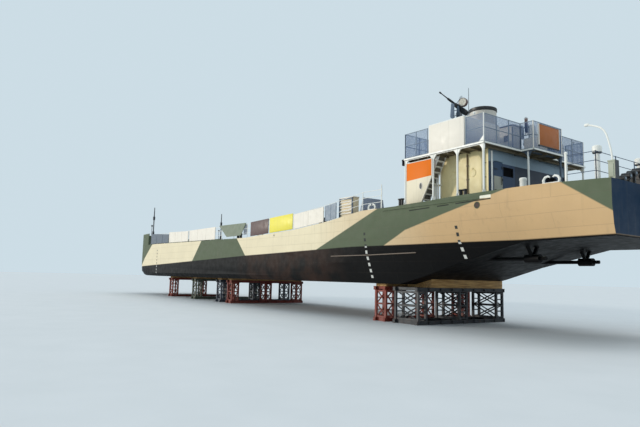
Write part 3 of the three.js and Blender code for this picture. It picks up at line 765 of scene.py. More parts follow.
brown = painted("brown_paint", "brown_paint", (96, 72, 68), 0.5, 0.15, 0.1)
# Painted shade: cream plating under the bridge deck, coloured dark olive-brown as it looks in shade
ceiling_in_shade = painted("ceiling_shade_paint", "cream_paint", (112, 100, 74), 0.6, 0.3, 0.2)
# Painted shade: the shields' pale blue-grey, darkened
shield_in_shade = painted("shield_in_shade", "blue_grey_paint", (142, 156, 174), 0.5, 0.1, 0.15)
# Painted shade: the inside of the hawse holes
hawse_hole_shade = painted("hawse_hole_shade", "brown_paint", (58, 38, 30), 0.7, 0.2, 0.1)
wire = painted("fence_wire", "blue_grey_paint", (96, 122, 164), 0.6, 0.1, 0.0)
magazine_paint = painted("magazine_paint", "brown_paint", (206, 200, 186), 0.5, 0.15, 0.2)
# Pale brown, lighter than the black bottom
pale_chine_paint = painted("pale_chine_paint", "bottom_paint", (122, 106, 92), 0.5, 0.3)
deck_grey = painted("bridge_deck_grey", "blue_grey_paint", (98, 104, 106), 0.7, 0.3, 0)
pipe_brown = painted("pipe_brown", "brown_paint", (112, 92, 66))
# Painted shade: the ladder's risers, brown-grey
riser_shade = painted("riser_shade", "dark_paint", (92, 86, 78))
lamp_paint = painted("lamp_box", "cream_paint", (165, 170, 150))
# Painted shade: white stern rails, coloured dark blue
rail_shade = painted("rail_shade", "white_paint", (64, 82, 106))
gun_steel = gun_material()
red_oxide = painted("trestle_red", "trestle_red", (132, 44, 28), 0.6, 0.25, 0.3, 0.6)
trestle_blue = painted("trestle_blue", "trestle_blue", (48, 62, 80), 0.55, 0.25, 0.3, 0.4)
trestle_green = painted("trestle_green", "trestle_green", (84, 92, 76), 0.6, 0.25, 0.3, 0.4)
trestle_dark = painted("trestle_dark", "dark_paint", (36, 40, 46), 0.55, 0.2, 0.2, 0.3)
timber = timber_material()
glass = glass_material()
screen_paint = screen_material()


# Hull

def dress_hull():
    dress(hull_paint, "hull_stern", "hull_bottom", *pair("side_tank"))

    # Light ledge along the knuckle abreast of the engine room
    bar = Shape().pipe([(10.54, 4.18, 1.68), (11.53, 4.27, 1.66), (14.01, 4.47, 1.61),
                        (15.55, 4.6, 1.6), (17.4, 4.68, 1.59)], 0.03, 8)
    piece("chine_bars", both_sides(bar), pale_chine_paint)

    ring, hole = Shape(), Shape()
    for s, k, outer, inner in [(6.12, 3.74, 0.145, 0.13), (24.5, 3.25, 0.07, 0.06)]:
        ring.hoop((s, HULL_SIDE + 0.005, k), outer, 24, 0.02)
        hole.turned([(0, 0), (inner, 0), (inner, 0.012), (inner * 0.7, 0.004), (0, 0.004)],
                    (s, HULL_SIDE - 0.002, k), 24, 1)
    piece("hawse_rings", both_sides(ring), hull_paint)
    # Painted shade: a dark brown disc stands for the shade inside each hawse hole
    piece("hawse_holes", both_sides(hole), hawse_hole_shade)


def bollards(s, y, k, radius=0.11, high=0.42, gap=0.5):
    shape = Shape().box((s - gap / 2 - 0.2, s + gap / 2 + 0.2), span(y, 0.16), (k, k + 0.04))
    for at in span(s, gap / 2):
        shape.turned([(0, 0.03), (radius, 0.03), (radius, high - 0.08),
                      (radius + 0.04, high - 0.06), (radius + 0.04, high), (0, high)],
                     (at, y, k), 20)
    return shape


def fairlead(s, y, k, reach=0.4):
    """Open fairlead: a base with two horns that curl towards each other."""
    shape = Shape().box(span(s, reach), (y - 0.1, y + 0.06), (k, k + 0.05))
    for side in (-1, 1):
        horn = [(s + side * reach * share, y, k + up) for share, up in
                [(0.9, 0.03), (0.95, 0.16), (0.75, 0.28), (0.4, 0.32), (0.18, 0.27)]]
        shape.pipe(horn, [0.055, 0.055, 0.05, 0.045, 0.03], 10)
    return shape


def deck_fittings():
    bitts = Shape().merge(bollards(7.38, 4.15, AFT_DECK + 0.005, 0.09, 0.48, 0.26))
    bitts.merge(bollards(11.55, 4.3, AFT_DECK + 0.005, 0.08, 0.45, 0.18))
    for s, y in [(19.0, 4.25), (31.0, 4.25), (43.5, 4.25), (52.8, 3.9)]:
        bitts.merge(bollards(s, y, deck_at(s) + 0.005))
    piece("deck_bollards", both_sides(bitts), black, bevel=0.01)
    leads = Shape()
    for s, reach, rise in ((2.5, 0.38, 0.1), (13.75, 0.3, 0.0), (26.9, 0.38, 0.0)):
        leads.box(span(s, reach), (4.42, 4.58), (deck_at(s), deck_at(s) + rise + 0.02))
        leads.merge(fairlead(s, 4.52, deck_at(s) + rise + 0.004, reach))
    piece("horned_fairleads", both_sides(leads), white)

    line = [(0.2, 4.21), (2.1, 4.29), (3.3, 4.33), (5.5, 4.33), (7.4, 4.31), (9.0, 4.26),
            (11.5, 4.21)]
    low = [(s, 4.19) for s in (line[0][0], line[-1][0])]
    gunwale = Shape().prism([*low, *line[::-1]], 1, HULL_SIDE - 0.045, HULL_SIDE - 0.005)
    piece("stern_gunwales", both_sides(gunwale), hull_paint)


def hatches_and_posts():
    hatches, lids = Shape(), Shape()
    for s, y in [(2.9, 1.8), (2.9, -1.8), (12.9, 1.4), (12.9, -1.4)]:
        hatches.box(span(s, 0.45), span(y, 0.45), (AFT_DECK, AFT_DECK + 0.18))
        lids.box(span(s, 0.5), span(y, 0.5), (AFT_DECK + 0.16, AFT_DECK + 0.23))
        lids.bolts([(a, b, AFT_DECK + 0.22) for a in span(s, 0.42) for b in span(y, 0.42)],
                   0.04, 0.05)
    piece("deck_hatches", hatches, cream, bevel=0.01)
    piece("hatch_lids", lids, blue_grey, bevel=0.015)

    post = Shape().post((*QUARTER_POST, AFT_DECK), 5.44, 0.055, 16)
    post.turned([(0, 0), (0.08, 0), (0.05, 0.06), (0, 0.09)], (*QUARTER_POST, 5.42), 16)
    post.post((12.95, 4.5, AFT_DECK), 5.6, 0.03, 12)
    piece("quarter_posts", both_sides(post), white)


def hold_details():
    """Frames on the side tanks' walls and lashing points on the load space's floor."""
    frames = Shape()
    for s in spread(16.6, 51.0, 29):
        top = deck_at(s) - 0.12
        frames.prism([(s - 0.04, 1.3), (s + 0.04, 1.3), (s + 0.04, top), (s - 0.04, top)], 1,
                     HOLD_HALF - 0.07, HOLD_HALF + 0.01)
    frames.box((16.0, 51.3), (HOLD_HALF - 0.09, HOLD_HALF + 0.01), (2.35, 2.43))
    piece("hold_frames", both_sides(frames), cream, bevel=0.008)
    rings = Shape()
    for s in spread(18.0, 50.0, 13):
        for y in (0.7, 2.1):
            rings.pipe(arc((s, y, HOLD_FLOOR + 0.02), 0.13, spread(0, pi, 9)), 0.025, 8)
            rings.turned([(0, 0), (0.2, 0), (0.17, 0.02), (0, 0.02)], (s, y, HOLD_FLOOR), 16)
    piece("lashing_points", both_sides(rings), dark)


def breakwater_details():
    """Louvred hood, boards and stiffeners where the deck falls to the hold."""
    aft, fore, side, top = 15.7, 17.05, 4.35, 5.2
    rim = Shape()
    for s in (aft + 0.05, fore - 0.05):
        rim.box(span(s, 0.05), (side - 0.01, side + 0.06), (3.95, top))
    for k in (4.0, top - 0.06):
        rim.box((aft, fore), (side - 0.01, side + 0.05), span(k, 0.04))
    piece("hood_frame", both_sides(rim), slate, bevel=0.006)
    trim = Shape()
    for k in spread(4.25, top - 0.22, 5):
        trim.prism([(side - 0.01, k - 0.05), (side + 0.06, k - 0.06), (side + 0.06, k - 0.03),
                    (side - 0.01, k + 0.05)], 0, aft + 0.1, fore - 0.1)
    trim.box((aft - 0.03, fore + 0.03), (3.87, side + 0.02), (top, top + 0.05))
    piece("hood_louvres", both_sides(trim), cream, bevel=0.008)
    ribs = Shape()
    for y in (3.2, 3.85, 4.42):
        ribs.prism([(14.62, 4.2), (15.0, 4.12), (14.66, 4.98), (14.62, 4.98)], 1, *span(y, 0.02))
    piece("breakwater_ribs", both_sides(ribs), blue_grey, bevel=0.005)


# Bridge deck and deckhouse

def bridge_posts():
    def column(s, y):
        shape = Shape().post((s, y, AFT_DECK), low, 0.052, 20)
        shape.disc(0.15, 0, 0.03, (s, y, AFT_DECK))
        for angle in range(4):
            way = Matrix.Rotation(angle * pi / 2, 4, "Z")
            fin = Shape().prism([(0.05, 0.02), (0.15, 0.02), (0.05, 0.34)], 1, -0.01, 0.01)
            shape.merge(fin, Matrix.Translation((s, y, AFT_DECK)) @ way)
        return shape

    def head(s, y, ends):
        flare = [(0.045 + 0.195 * t ** 1.8, low - 0.3 + 0.31 * t) for t in spread(0, 1, 7)]
        outline = [(-a, b) for a, b in reversed(flare)] + flare
        return Shape().prism([(max(ends[0], min(ends[1], s + a)), b) for a, b in outline], 1,
                             y - 0.03, y + 0.03)

    y = BRIDGE.half - 0.07
    low, high = BRIDGE.under - BRIDGE.beam, BRIDGE.under - 0.002
    length = (BRIDGE.aft + 0.02, BRIDGE.fore - 0.02)
    row = Shape().box(length, span(y, 0.012), (low, high))
    row.box(length, span(y, 0.05), (low, low + 0.02))
    for s in (6.01, 7.57, 9.16, 11.18):
        row.merge(column(s, y)).merge(head(s, y, length))
    piece("posts_port", row, white, replaces=["bridge_posts_port"])
    piece("posts_starboard", mirrored(row), white, replaces=["bridge_posts_starboard"])
    wing = (WING.aft + 0.02, BRIDGE.aft - 0.02)
    (port_s, port), (starboard_s, starboard) = WING_POSTS
    beams = Shape().box(span(port_s, 0.05), (starboard, port), (low, high))
    for s, side in WING_POSTS:
        beams.box(wing, span(side, 0.05), (low, high))
        beams.merge(head(s, side, wing))
    beams.merge(column(starboard_s, starboard))
    # Painted shade: the starboard wing post, the beams and the posts' heads are slate, as these
    # white parts look in shade
    piece("wing_beams", beams, slate)
    piece("post_aft", column(port_s, port), white, replaces=["bridge_posts_aft"])


def bridge_deck_trim():
    # The deck's underside and beams get the painted shade colour
    dress(ceiling_in_shade, "bridge_deck")
    beams = Shape()
    depth = (BRIDGE.under - 0.1, BRIDGE.under - 0.002)
    for s in spread(6.2, 11.0, 8):
        half = BRIDGE.half - 0.15
        widths = [(-half, half)]
        if HOUSE.aft - 0.2 < s < HOUSE.fore + 0.2:
            widths = [(HOUSE.half + 0.02, half), (-half, -HOUSE.half - 0.02)]
        for width in widths:
            beams.box(span(s, 0.012), width, depth)
            beams.box(span(s, 0.05), width, span(depth[0], 0.012))
    for y in (-0.8, 0.3, 1.35):
        beams.box((WING.aft + 0.1, HOUSE.aft - 0.02), span(y, 0.02), depth)
    piece("bridge_beams", beams, ceiling_in_shade)


def bridge_edge():
    """White edge bar and grey walking surface."""
    aft, fore, half = BRIDGE.aft, BRIDGE.fore, BRIDGE.half
    line = [(aft, half), (fore, half), (fore, -half), (aft, -half), (aft, WING.starboard),
            (WING.aft, WING.starboard), (WING.aft, WING.port), (aft, WING.port)]
    edge = Shape()
    bottom, top = BRIDGE.under - 0.005, BRIDGE.top + 0.02
    for (s0, y0), (s1, y1) in zip(line, line[1:] + line[:1]):
        edge.box((min(s0, s1) - 0.015, max(s0, s1) + 0.015),
                 (min(y0, y1) - 0.015, max(y0, y1) + 0.015), (bottom, top))
    piece("bridge_edge", edge, white, bevel=0.006)
    skin = (BRIDGE.top - 0.01, BRIDGE.top + 0.003)
    deck = Shape().box((aft + 0.03, fore - 0.03), (-half + 0.03, half - 0.03), skin)
    deck.box((WING.aft + 0.03, aft + 0.04), (WING.starboard + 0.03, WING.port - 0.03), skin)
    piece("bridge_plating", deck, deck_grey)


def fence(line, high, spacing, mesh_step):
    """Posts and rails of round bar, and a wire mesh, along (s, y) points on the bridge deck."""
    z = BRIDGE.top + 0.003
    bars, net = Shape(), Shape()
    for p, q in zip(line, line[1:]):
        run = dist(p, q)
        for s, y in between(p, q, max(1, round(run / spacing)) + 1):
            bars.post((s, y, z), z + high + 0.02, 0.024, 10)
            bars.disc(0.05, 0, 0.02, (s, y, z), 10)
        for level in (0.04, 0.52, 1.0):
            bars.pipe([(*p, z + level * high), (*q, z + level * high)], 0.02, 10)
        for s, y in between(p, q, max(2, round(run / mesh_step)) + 1)[1:-1]:
            net.post((s, y, z + 0.04 * high), z + high, 0.0065, 4)
        for level in spread(0.08, 0.96, round(high / mesh_step)):
            net.pipe([(*p, z + level * high), (*q, z + level * high)], 0.0065, 4)
    return bars, net


def fences():
    y = BRIDGE.half - 0.05
    port, starboard = WING.port - 0.05, WING.starboard + 0.05
    fore_s, aft_s, wing_s = BRIDGE.fore - 0.05, BRIDGE.aft + 0.05, WING.aft + 0.05
    fore = [(TUB.fore + 0.1, y), (fore_s, y), (fore_s, -y), (TUB.fore + 0.1, -y)]
    aft = [(TUB.aft - 0.1, y), (aft_s, y), (aft_s, port), (wing_s, port),
           (wing_s, starboard), (aft_s, starboard), (aft_s, -y), (TUB.aft - 0.1, -y)]
    for name, line in (("fore", fore), ("aft", aft)):
        bars, net = fence(line, FENCE_HIGH, 1.1, 0.05)
        piece(f"fence_{name}", bars, blue_grey, replaces=[f"bridge_rail_{name}"])
        piece(f"fence_mesh_{name}", net, wire)
    corner = Shape().post((aft_s, y, BRIDGE.top), FENCE_POST_TOP, 0.028, 12)
    corner.prism([(aft_s + 0.02, BRIDGE.top), (aft_s + 0.32, BRIDGE.top),
                  (aft_s + 0.02, BRIDGE.top + 0.3)], 1, *span(y, 0.015))
    piece("fence_corner_posts", both_sides(corner), white)


def aft_board():
    """Orange board at the wing's aft end, with its frame, foot and side posts."""
    dress(orange, "board_aft", bevel=0.008)
    s = WING.aft - 0.055
    depth = (s - 0.005, s + 0.06)
    y0, y1, k0, k1 = -0.57, 1.14, 7.0, 8.05
    width = (y0 - 0.02, y1 + 0.02)
    frame_bars = Shape()
    for a in (y0 + 0.06, (y0 + y1) / 2, y1 - 0.06):
        frame_bars.box((s + 0.055, s + 0.09), span(a, 0.03), (k0 - 0.08, k1 + 0.03))
    frame_bars.box(depth, width, (k1, k1 + 0.03))
    piece("board_aft_frame", frame_bars, blue_grey, bevel=0.005)
    piece("board_aft_foot", Shape().box(depth, width, (k0 - 0.05, k0)), dark, bevel=0.005)
    sides = Shape()
    for a in width:
        sides.box(depth, span(a, 0.02), (k0, k1 + 0.03))
    wing_s = WING.aft + 0.05
    for b in (WING.port - 0.05, WING.starboard + 0.05):
        sides.post((wing_s, b, BRIDGE.top), FENCE_POST_TOP, 0.026, 12)
    piece("board_aft_sides", sides, cream)


WINDOW = SimpleNamespace(y=1.845, half=0.355, k=(5.51, 5.89))


def windows():
    dress(wall_cream, "deckhouse_shell", bevel=0.01)
    dress(aft_wall_material(), "deckhouse_aft", bevel=0.01)
    lids, glassy, rims = Shape(), Shape(), Shape()
    for s in (7.4, 8.6):
        lids.turned([(0, -0.06), (0.15, -0.06), (0.15, 0.0), (0.2, 0.0), (0.2, 0.02), (0.15, 0.035),
                     (0, 0.04)], (s, HOUSE.half, 5.6), 28, 1)
        lids.box(span(s, 0.03), (HOUSE.half, HOUSE.half + 0.05), (5.76, 5.86))
    piece("scuttle_lids", both_sides(lids), wall_cream)
    depth = (HOUSE.aft - 0.015, HOUSE.aft + 0.04)
    for middle in (-WINDOW.y, WINDOW.y):
        width = span(middle, WINDOW.half)
        glassy.box((HOUSE.aft + 0.03, HOUSE.aft + 0.05), width, WINDOW.k)
        for k in WINDOW.k:
            rims.box(depth, width, span(k, 0.04))
        for y in width:
            rims.box(depth, span(y, 0.04), (WINDOW.k[0] - 0.04, WINDOW.k[1] + 0.04))
    piece("aft_windows", glassy, window_black, bevel=0.004)
    piece("window_rims", rims, window_black, bevel=0.006)


def wall_pipes():
    pipes, corner, risers = Shape(), Shape(), Shape()
    wall, top = HOUSE.half + 0.05, BRIDGE.under - 0.13
    for s in (6.68, 7.7):
        pipes.post((s, wall, AFT_DECK), top, 0.035, 12)
        for k in (4.6, 5.3, 6.0):
            pipes.box(span(s, 0.06), (HOUSE.half - 0.01, wall + 0.02), span(k, 0.025))
    piece("wall_pipes", both_sides(pipes), pipe_brown)
    s = HOUSE.aft - 0.05
    corner.post((s, 3.2, AFT_DECK), top, 0.045, 14)
    piece("corner_pipes", both_sides(corner), white)
    for s in (9.75, 9.62, 9.48):
        risers.post((s, 3.62, AFT_DECK), top, 0.045, 12)
    risers.box((9.42, 9.82), (3.4, 3.66), (5.2, 5.26))
    piece("fore_risers", both_sides(risers), white)


def door_gear():
    """Hinges, dogs and a handle that move with each door."""
    dress(door_material(), *pair("door"), bevel=0.01)
    trim = Shape()
    for k in (4.7, 5.75):
        trim.box((HOUSE.aft - 0.03, HOUSE.aft + 0.01), (2.72, 2.94), span(k, 0.03))
    for k in (4.65, 5.25, 5.85):
        trim.box((HOUSE.aft - 0.045, HOUSE.aft + 0.01), (2.31, 2.37), span(k, 0.07))
    trim.pipe([(HOUSE.aft - 0.03, 2.45, 5.0), (HOUSE.aft - 0.07, 2.45, 5.02),
               (HOUSE.aft - 0.07, 2.45, 5.38), (HOUSE.aft - 0.03, 2.45, 5.4)], 0.018, 8)
    for name, shape in (("port", trim), ("starboard", mirrored(trim))):
        piece(f"door_dogs_{name}", shape, dark, f"door_leaf_{name}", bevel=0.005)


def screens_and_ladder():
    dress(screen_paint, *pair("screen"), bevel=0.006)
    trim = Shape()
    outline = [(11.05, 4.25), (11.05, 6.5), (9.2, 6.5), (9.2, 5.6), (9.97, 4.25)]
    for (s0, k0), (s1, k1) in zip(outline, outline[1:]):
        trim.pipe([(s0, 4.4, k0), (s1, 4.4, k1)], 0.022, 8)
    port_s, port_k = 9.97, 5.15
    trim.hoop((port_s, 4.405, port_k), 0.11, 20, 0.02, tall=0.18)
    piece("screen_edges", both_sides(trim), cream)
    mark = Shape().turned([(0, -0.01), (0.1, -0.01), (0.1, 0.006), (0, 0.008)], (0, 0, 0), 20, 1)
    spots = Shape().merge(mark, Matrix.Translation((port_s, 4.402, port_k))
                          @ Matrix.Diagonal((1, 1, 1.6, 1)))
    piece("screen_ports", both_sides(spots), dark, slot="blue_grey_paint")

    foot, head = (10.3, AFT_DECK + 0.01), (9.0, BRIDGE.under - 0.06)
    steps = Shape()
    for y in (3.62, 4.12):
        steps.prism([(foot[0] - 0.12, foot[1]), (foot[0] + 0.1, foot[1]), (head[0] + 0.12, head[1]),
                     (head[0] - 0.1, head[1])], 1, *span(y, 0.015))
    risers = Shape()
    for s, k in between(foot, head, 10)[1:-1]:
        steps.box(span(s, 0.14), (3.62, 4.12), span(k, 0.025))
        risers.box((s - 0.13, s - 0.11), (3.63, 4.11), (k + 0.02, k + 0.24))
    piece("ladder", steps, white, replaces=["ladder_port"], bevel=0.004)
    # Painted shade: the risers are brown-grey for the shade between the white treads and under the
    # bridge deck
    piece("ladder_risers", risers, riser_shade)


# Guns and their tubs

def tub_trim():
    dress(cream, *pair("gun_tub"), bevel=0.012)
    inner, outer = TUB.inner + 0.03, TUB.outer - 0.03
    aft, fore = TUB.aft + 0.03, TUB.fore - 0.03
    line = [(fore - 0.7, inner), (fore, inner), (fore, outer), (aft, outer), (aft, inner),
            (aft + 0.7, inner)]
    rim = Shape()
    for p, q in zip(line, line[1:]):
        rim.pipe([(*p, TUB.top), (*q, TUB.top)], 0.038, 10)
    piece("tub_rims", both_sides(rim), white, slot="cream_paint")
    ribs = Shape()
    rib_top = TUB.top - 0.1
    for y in (2.3, 3.0, 3.7):
        for s, way in ((aft, 1), (fore, -1)):
            ribs.prism([(s, BRIDGE.top), (s + way * 0.22, BRIDGE.top), (s + way * 0.05, rib_top),
                        (s, rib_top)], 1, *span(y, 0.012))
    for s in (7.7, 8.28, 8.86):
        ribs.prism([(outer, BRIDGE.top), (outer - 0.22, BRIDGE.top), (outer - 0.05, rib_top),
                    (outer, rib_top)], 0, *span(s, 0.012))
    for s in (7.5, 9.05):
        ribs.box(span(s, 0.28), (outer - 0.5, outer - 0.24), (BRIDGE.top, 7.3))
    piece("tub_stiffeners", both_sides(ribs), cream, bevel=0.006)


# Shields ahead of the trunnion, and the magazine's middle along and above the barrel's line
SHIELD_AHEAD = 0.2
MAGAZINE = (0.0, 0.33)


def barrel():
    """Gun with its line along the first axis and its trunnion at the origin."""
    steel = Shape()
    steel.prism([(-0.6, -0.1), (-0.54, -0.15), (-0.25, -0.15), (-0.2, -0.12), (0.2, -0.12),
                 (0.36, -0.07), (0.36, 0.07), (0.2, 0.11), (-0.2, 0.11), (-0.25, 0.13),
                 (-0.54, 0.13), (-0.6, 0.09)], 1, -0.095, 0.095)
    steel.disc(0.045, -0.12, 0.12, axis=1)
    steel.turned([(0, 0.3), (0.06, 0.3), (0.06, 0.36), (0.046, 0.38), (0.046, 0.84), (0.06, 0.86),
                  (0.06, 0.92), (0.036, 0.96), (0.026, 1.36), (0.026, 1.42), (0.03, 1.44),
                  (0.052, 1.6), (0.045, 1.62), (0.02, 1.5), (0, 1.5)], (0, 0, 0), 24, 0)
    # Recoil spring
    turns, stops, radius = 15, 12, 0.056
    coil = [(0.38 + 0.46 * n / (turns * stops), radius * cos(2 * pi * n / stops),
             radius * sin(2 * pi * n / stops)) for n in range(turns * stops + 1)]
    steel.pipe(coil, 0.009, 6)
    for side in (-1, 1):
        steel.pipe([(-0.5, side * 0.03, -0.02), (-0.64, side * 0.06, -0.03),
                    (-0.76, side * 0.06, -0.06)], 0.018, 8)
    steel.pipe([(0.1, -0.07, 0.05), (0.1, -0.13, 0.06), (0.1, -0.13, 0.14)], 0.014, 8)
    # Sight: a ring with a cross on an arm
    steel.post((0.3, 0, 0.08), 0.34, 0.012, 8)
    for radius in (0.05, 0.1):
        steel.hoop((0.3, 0, 0.44), radius, 20, 0.006, 6, 0)
    steel.pipe([(0.3, -0.1, 0.44), (0.3, 0.1, 0.44)], 0.005, 6)
    steel.post((0.3, 0, 0.34), 0.54, 0.005, 6)
    return steel


def magazine():
    """Flat drum and its rim, above the same trunnion."""
    along, above = MAGAZINE
    drum = Shape().turned([(0, -0.085), (0.2, -0.085), (0.21, -0.07), (0.21, 0.07),
                           (0.2, 0.085), (0.06, 0.085), (0.05, 0.1), (0, 0.1)],
                          (along, 0, above), 32, 1)
    drum.box(span(along, 0.1), (-0.05, 0.05), (0.05, 0.2))
    face = (along, 0.087, above)
    for spoke in zip(arc(face, 0.06, full_turn(8)), arc(face, 0.185, full_turn(8))):
        drum.pipe(spoke, 0.008, 6)
    rim = Shape().turned([(0.208, -0.088), (0.232, -0.085), (0.232, 0.085), (0.208, 0.088),
                          (0.208, -0.088)], (along, 0, above), 40, 1)
    return drum, rim


def shoulder_pads():
    pads = Shape()
    for side in (-1, 1):
        pads.pipe([(-0.76, side * 0.045, -0.02), (-0.79, side * 0.06, -0.07),
                   (-0.77, side * 0.065, -0.13), (-0.72, side * 0.06, -0.16)],
                  [0.03, 0.038, 0.038, 0.03], 12)
    return pads


def carriage():
    """Carriage's arms, and its left and right shield, about the same trunnion."""
    floor = GUN.table - GUN.k + 0.012
    arms = Shape().turned([(0, 0), (0.2, 0), (0.2, 0.04), (0.17, 0.06), (0.17, 0.1), (0, 0.1)],
                          (0, 0, floor), 32)
    for side in (-1, 1):
        arms.prism([(-0.12, floor + 0.09), (0.12, floor + 0.09), (0.07, -0.05), (0.05, 0.05),
                    (0, 0.075), (-0.05, 0.05), (-0.07, -0.05)], 1, *span(side * 0.145, 0.02))
        for k in (-0.16, -0.45):
            arms.pipe([(0.04, side * 0.15, k), (SHIELD_AHEAD + 0.005, side * 0.15, k)], 0.02, 8)
    arms.disc(0.05, 0, 0.03, (0, 0.17, -0.4), 16, 1)
    arms.hoop((0, 0.21, -0.4), 0.1, 20, 0.012)
    arms.pipe([(-0.1, 0.21, -0.4), (0.1, 0.21, -0.4)], 0.01, 6)
    arms.pipe([(0, 0.17, -0.4), (0, 0.21, -0.4)], 0.015, 8)
    shields = []
    for side in (1, -1):
        outline = [(side * y, k) for y, k in [(0.14, -0.62), (0.2, -0.65), (0.54, -0.65),
                   (0.6, -0.58), (0.5, 0.12), (0.42, 0.2), (0.18, 0.2)]]
        shield = Shape().prism(outline, 0, SHIELD_AHEAD, SHIELD_AHEAD + 0.02)
        shields.append(shield.bolts([(SHIELD_AHEAD + 0.015, side * 0.2, k)
                                     for k in (-0.5, -0.16, 0.1)], 0.022, 0.03, 0))
    return arms, *shields


def guns():
    foot = ON_BRIDGE
    steel, (drum, rim), pads = barrel(), magazine(), shoulder_pads()
    arms, left, right = carriage()
    for name, side, trained, lifted in GUN_REST:
        at = Matrix.Translation((GUN.s, side * GUN.y, GUN.k))
        train = at @ Matrix.Rotation(radians(trained), 4, "Z")
        aim = train @ Matrix.Rotation(-radians(lifted), 4, "Y")
        # Columns: name, shape, turn, paint, body, replaced node, width of the soft edges
        for part, shape, turn, paint, body, old, bevel in [
            ("steel", steel, aim, gun_steel, "barrel", ["gun_barrel"], 0.005),
            ("magazine", drum, aim, magazine_paint, "barrel", [], 0.004),
            ("magazine_rim", rim, aim, brown, "barrel", [], 0),
            ("pads", pads, aim, cream, "barrel", [], 0),
            ("arms", arms, train, slate, "carriage", ["gun_carriage"], 0.006),
        ]:
            piece(f"gun_{part}_{name}", Shape().merge(shape, turn), paint, f"{body}_{name}",
                  [f"{node}_{name}" for node in old], bevel=bevel)
        # Painted light: the left shield is painted darker blue-grey as shade, the right one white
        # as sunlit; both are one blue-grey paint
        for which, shield, paint in (("left", left, shield_in_shade), ("right", right, white)):
            piece(f"gun_shield_{which}_{name}", Shape().merge(shield, train), paint,
                  f"carriage_{name}", slot="blue_grey_paint", bevel=0.006)
        high = GUN.table - foot
        stand = Shape().turned([(0, 0), (0.34, 0), (0.34, 0.06), (0.26, 0.08), (0.2, 0.2),
                                (0.15, 0.9), (0.14, high - 0.1), (0.18, high - 0.06),
                                (0.18, high), (0, high)], (GUN.s, side * GUN.y, foot), 32)
        stand.bolts(arc((GUN.s, side * GUN.y, foot + 0.055), 0.3, spread(0, pi * 7 / 4, 8), 2),
                    0.025, 0.035)
        piece(f"gun_stand_{name}", stand, slate, replaces=[f"gun_pedestal_{name}"],
              slot="dark_paint")


# Funnel, locker and mast

def funnel():
    z, s, rim = ON_BRIDGE, 9.4, 10.02
    casing, lip, bore = 0.745, 0.78, 0.66
    stack = Shape().turned([(0, z), (lip, z), (lip, z + 0.05), (casing, z + 0.06),
                            (casing, rim - 0.2), (bore, rim - 0.2), (bore, rim - 1.2),
                            (0, rim - 1.2)], (s, 0, 0), 64)
    for s1, y1, _ in arc((s, 0, z), casing, [n * pi / 3 + 0.3 for n in range(6)], 2):
        stack.post((s1, y1, z), rim - 0.2, 0.012, 6)
    for k in (8.0, 9.1):
        stack.hoop((s, 0, k), casing, 48, 0.012, 6, 2)
    piece("funnel_casing", stack, funnel_paint, replaces=["funnel"])
    cap = Shape().turned([(bore, rim - 0.21), (lip - 0.02, rim - 0.21), (lip, rim - 0.18),
                          (lip, rim - 0.02), (lip - 0.02, rim), (bore, rim), (bore, rim - 0.21)],
                         (s, 0, 0), 64)
    piece("funnel_rim", cap, black)
    steam = Shape().pipe([(s + 0.85, -0.25, z), (s + 0.85, -0.25, rim - 0.5),
                          (s + 0.83, -0.25, rim - 0.3), (s + 0.75, -0.25, rim - 0.15)], 0.05, 14)
    for k in (7.6, 8.8):
        steam.box((s + 0.6, s + 0.85), (-0.28, -0.22), span(k, 0.03))
    piece("steam_pipe", steam, blue_grey)


def locker():
    dress(funnel_paint, "chart_locker", bevel=0.012)
    window = Shape().box((7.51, 7.76), (0.35, 0.372), (7.75, 8.08))
    piece("locker_window", window, glass, bevel=0.006)
    edge = Shape().box((7.25, 8.09), (-0.56, 0.39), (8.6, 8.63))
    for y in (-0.45, 0.28):
        edge.box((7.255, 7.29), span(y, 0.015), (6.85, 8.5))
    edge.box((7.26, 7.3), (-0.45, 0.28), (6.95, 6.99))
    edge.pipe([(7.27, -0.34, 7.6), (7.23, -0.34, 7.62), (7.23, -0.34, 7.78),
               (7.27, -0.34, 7.8)], 0.012, 8)
    piece("locker_trim", edge, slate, slot="dark_paint", bevel=0.004)


def mast_and_lamps():
    mast_s = 10.41
    mast = Shape().turned([(0, 0), (0.16, 0), (0.16, 0.04), (0.08, 0.08), (0.07, 2.0), (0.05, 2.2),
                           (0.05, 2.26), (0, 2.26)], (mast_s, 0, ON_BRIDGE), 24)
    mast.turned([(0, 8.9), (0.05, 8.92), (0.07, 8.98), (0.04, 9.04), (0.06, 9.1), (0.03, 9.2),
                 (0.022, 9.3), (0.012, 11.6), (0, 11.62)], (mast_s, 0, 0), 16)
    piece("whip_mast", mast, dark, replaces=["signal_mast"])

    side_lamps = Shape().box((11.24, 11.4), (4.14, 4.4), (6.45, 6.75))
    side_lamps.box((11.16, 11.42), (4.12, 4.4), (6.73, 6.79))
    piece("side_lamp_boxes", both_sides(side_lamps), window_black, bevel=0.01)
    ball = [(0.07 * sin(a), -0.07 * cos(a)) for a in spread(0, pi, 9)]
    piece("fence_lamps", both_sides(Shape().turned(ball, (6.52, 4.35, 8.28), 20)), white)


# Stern

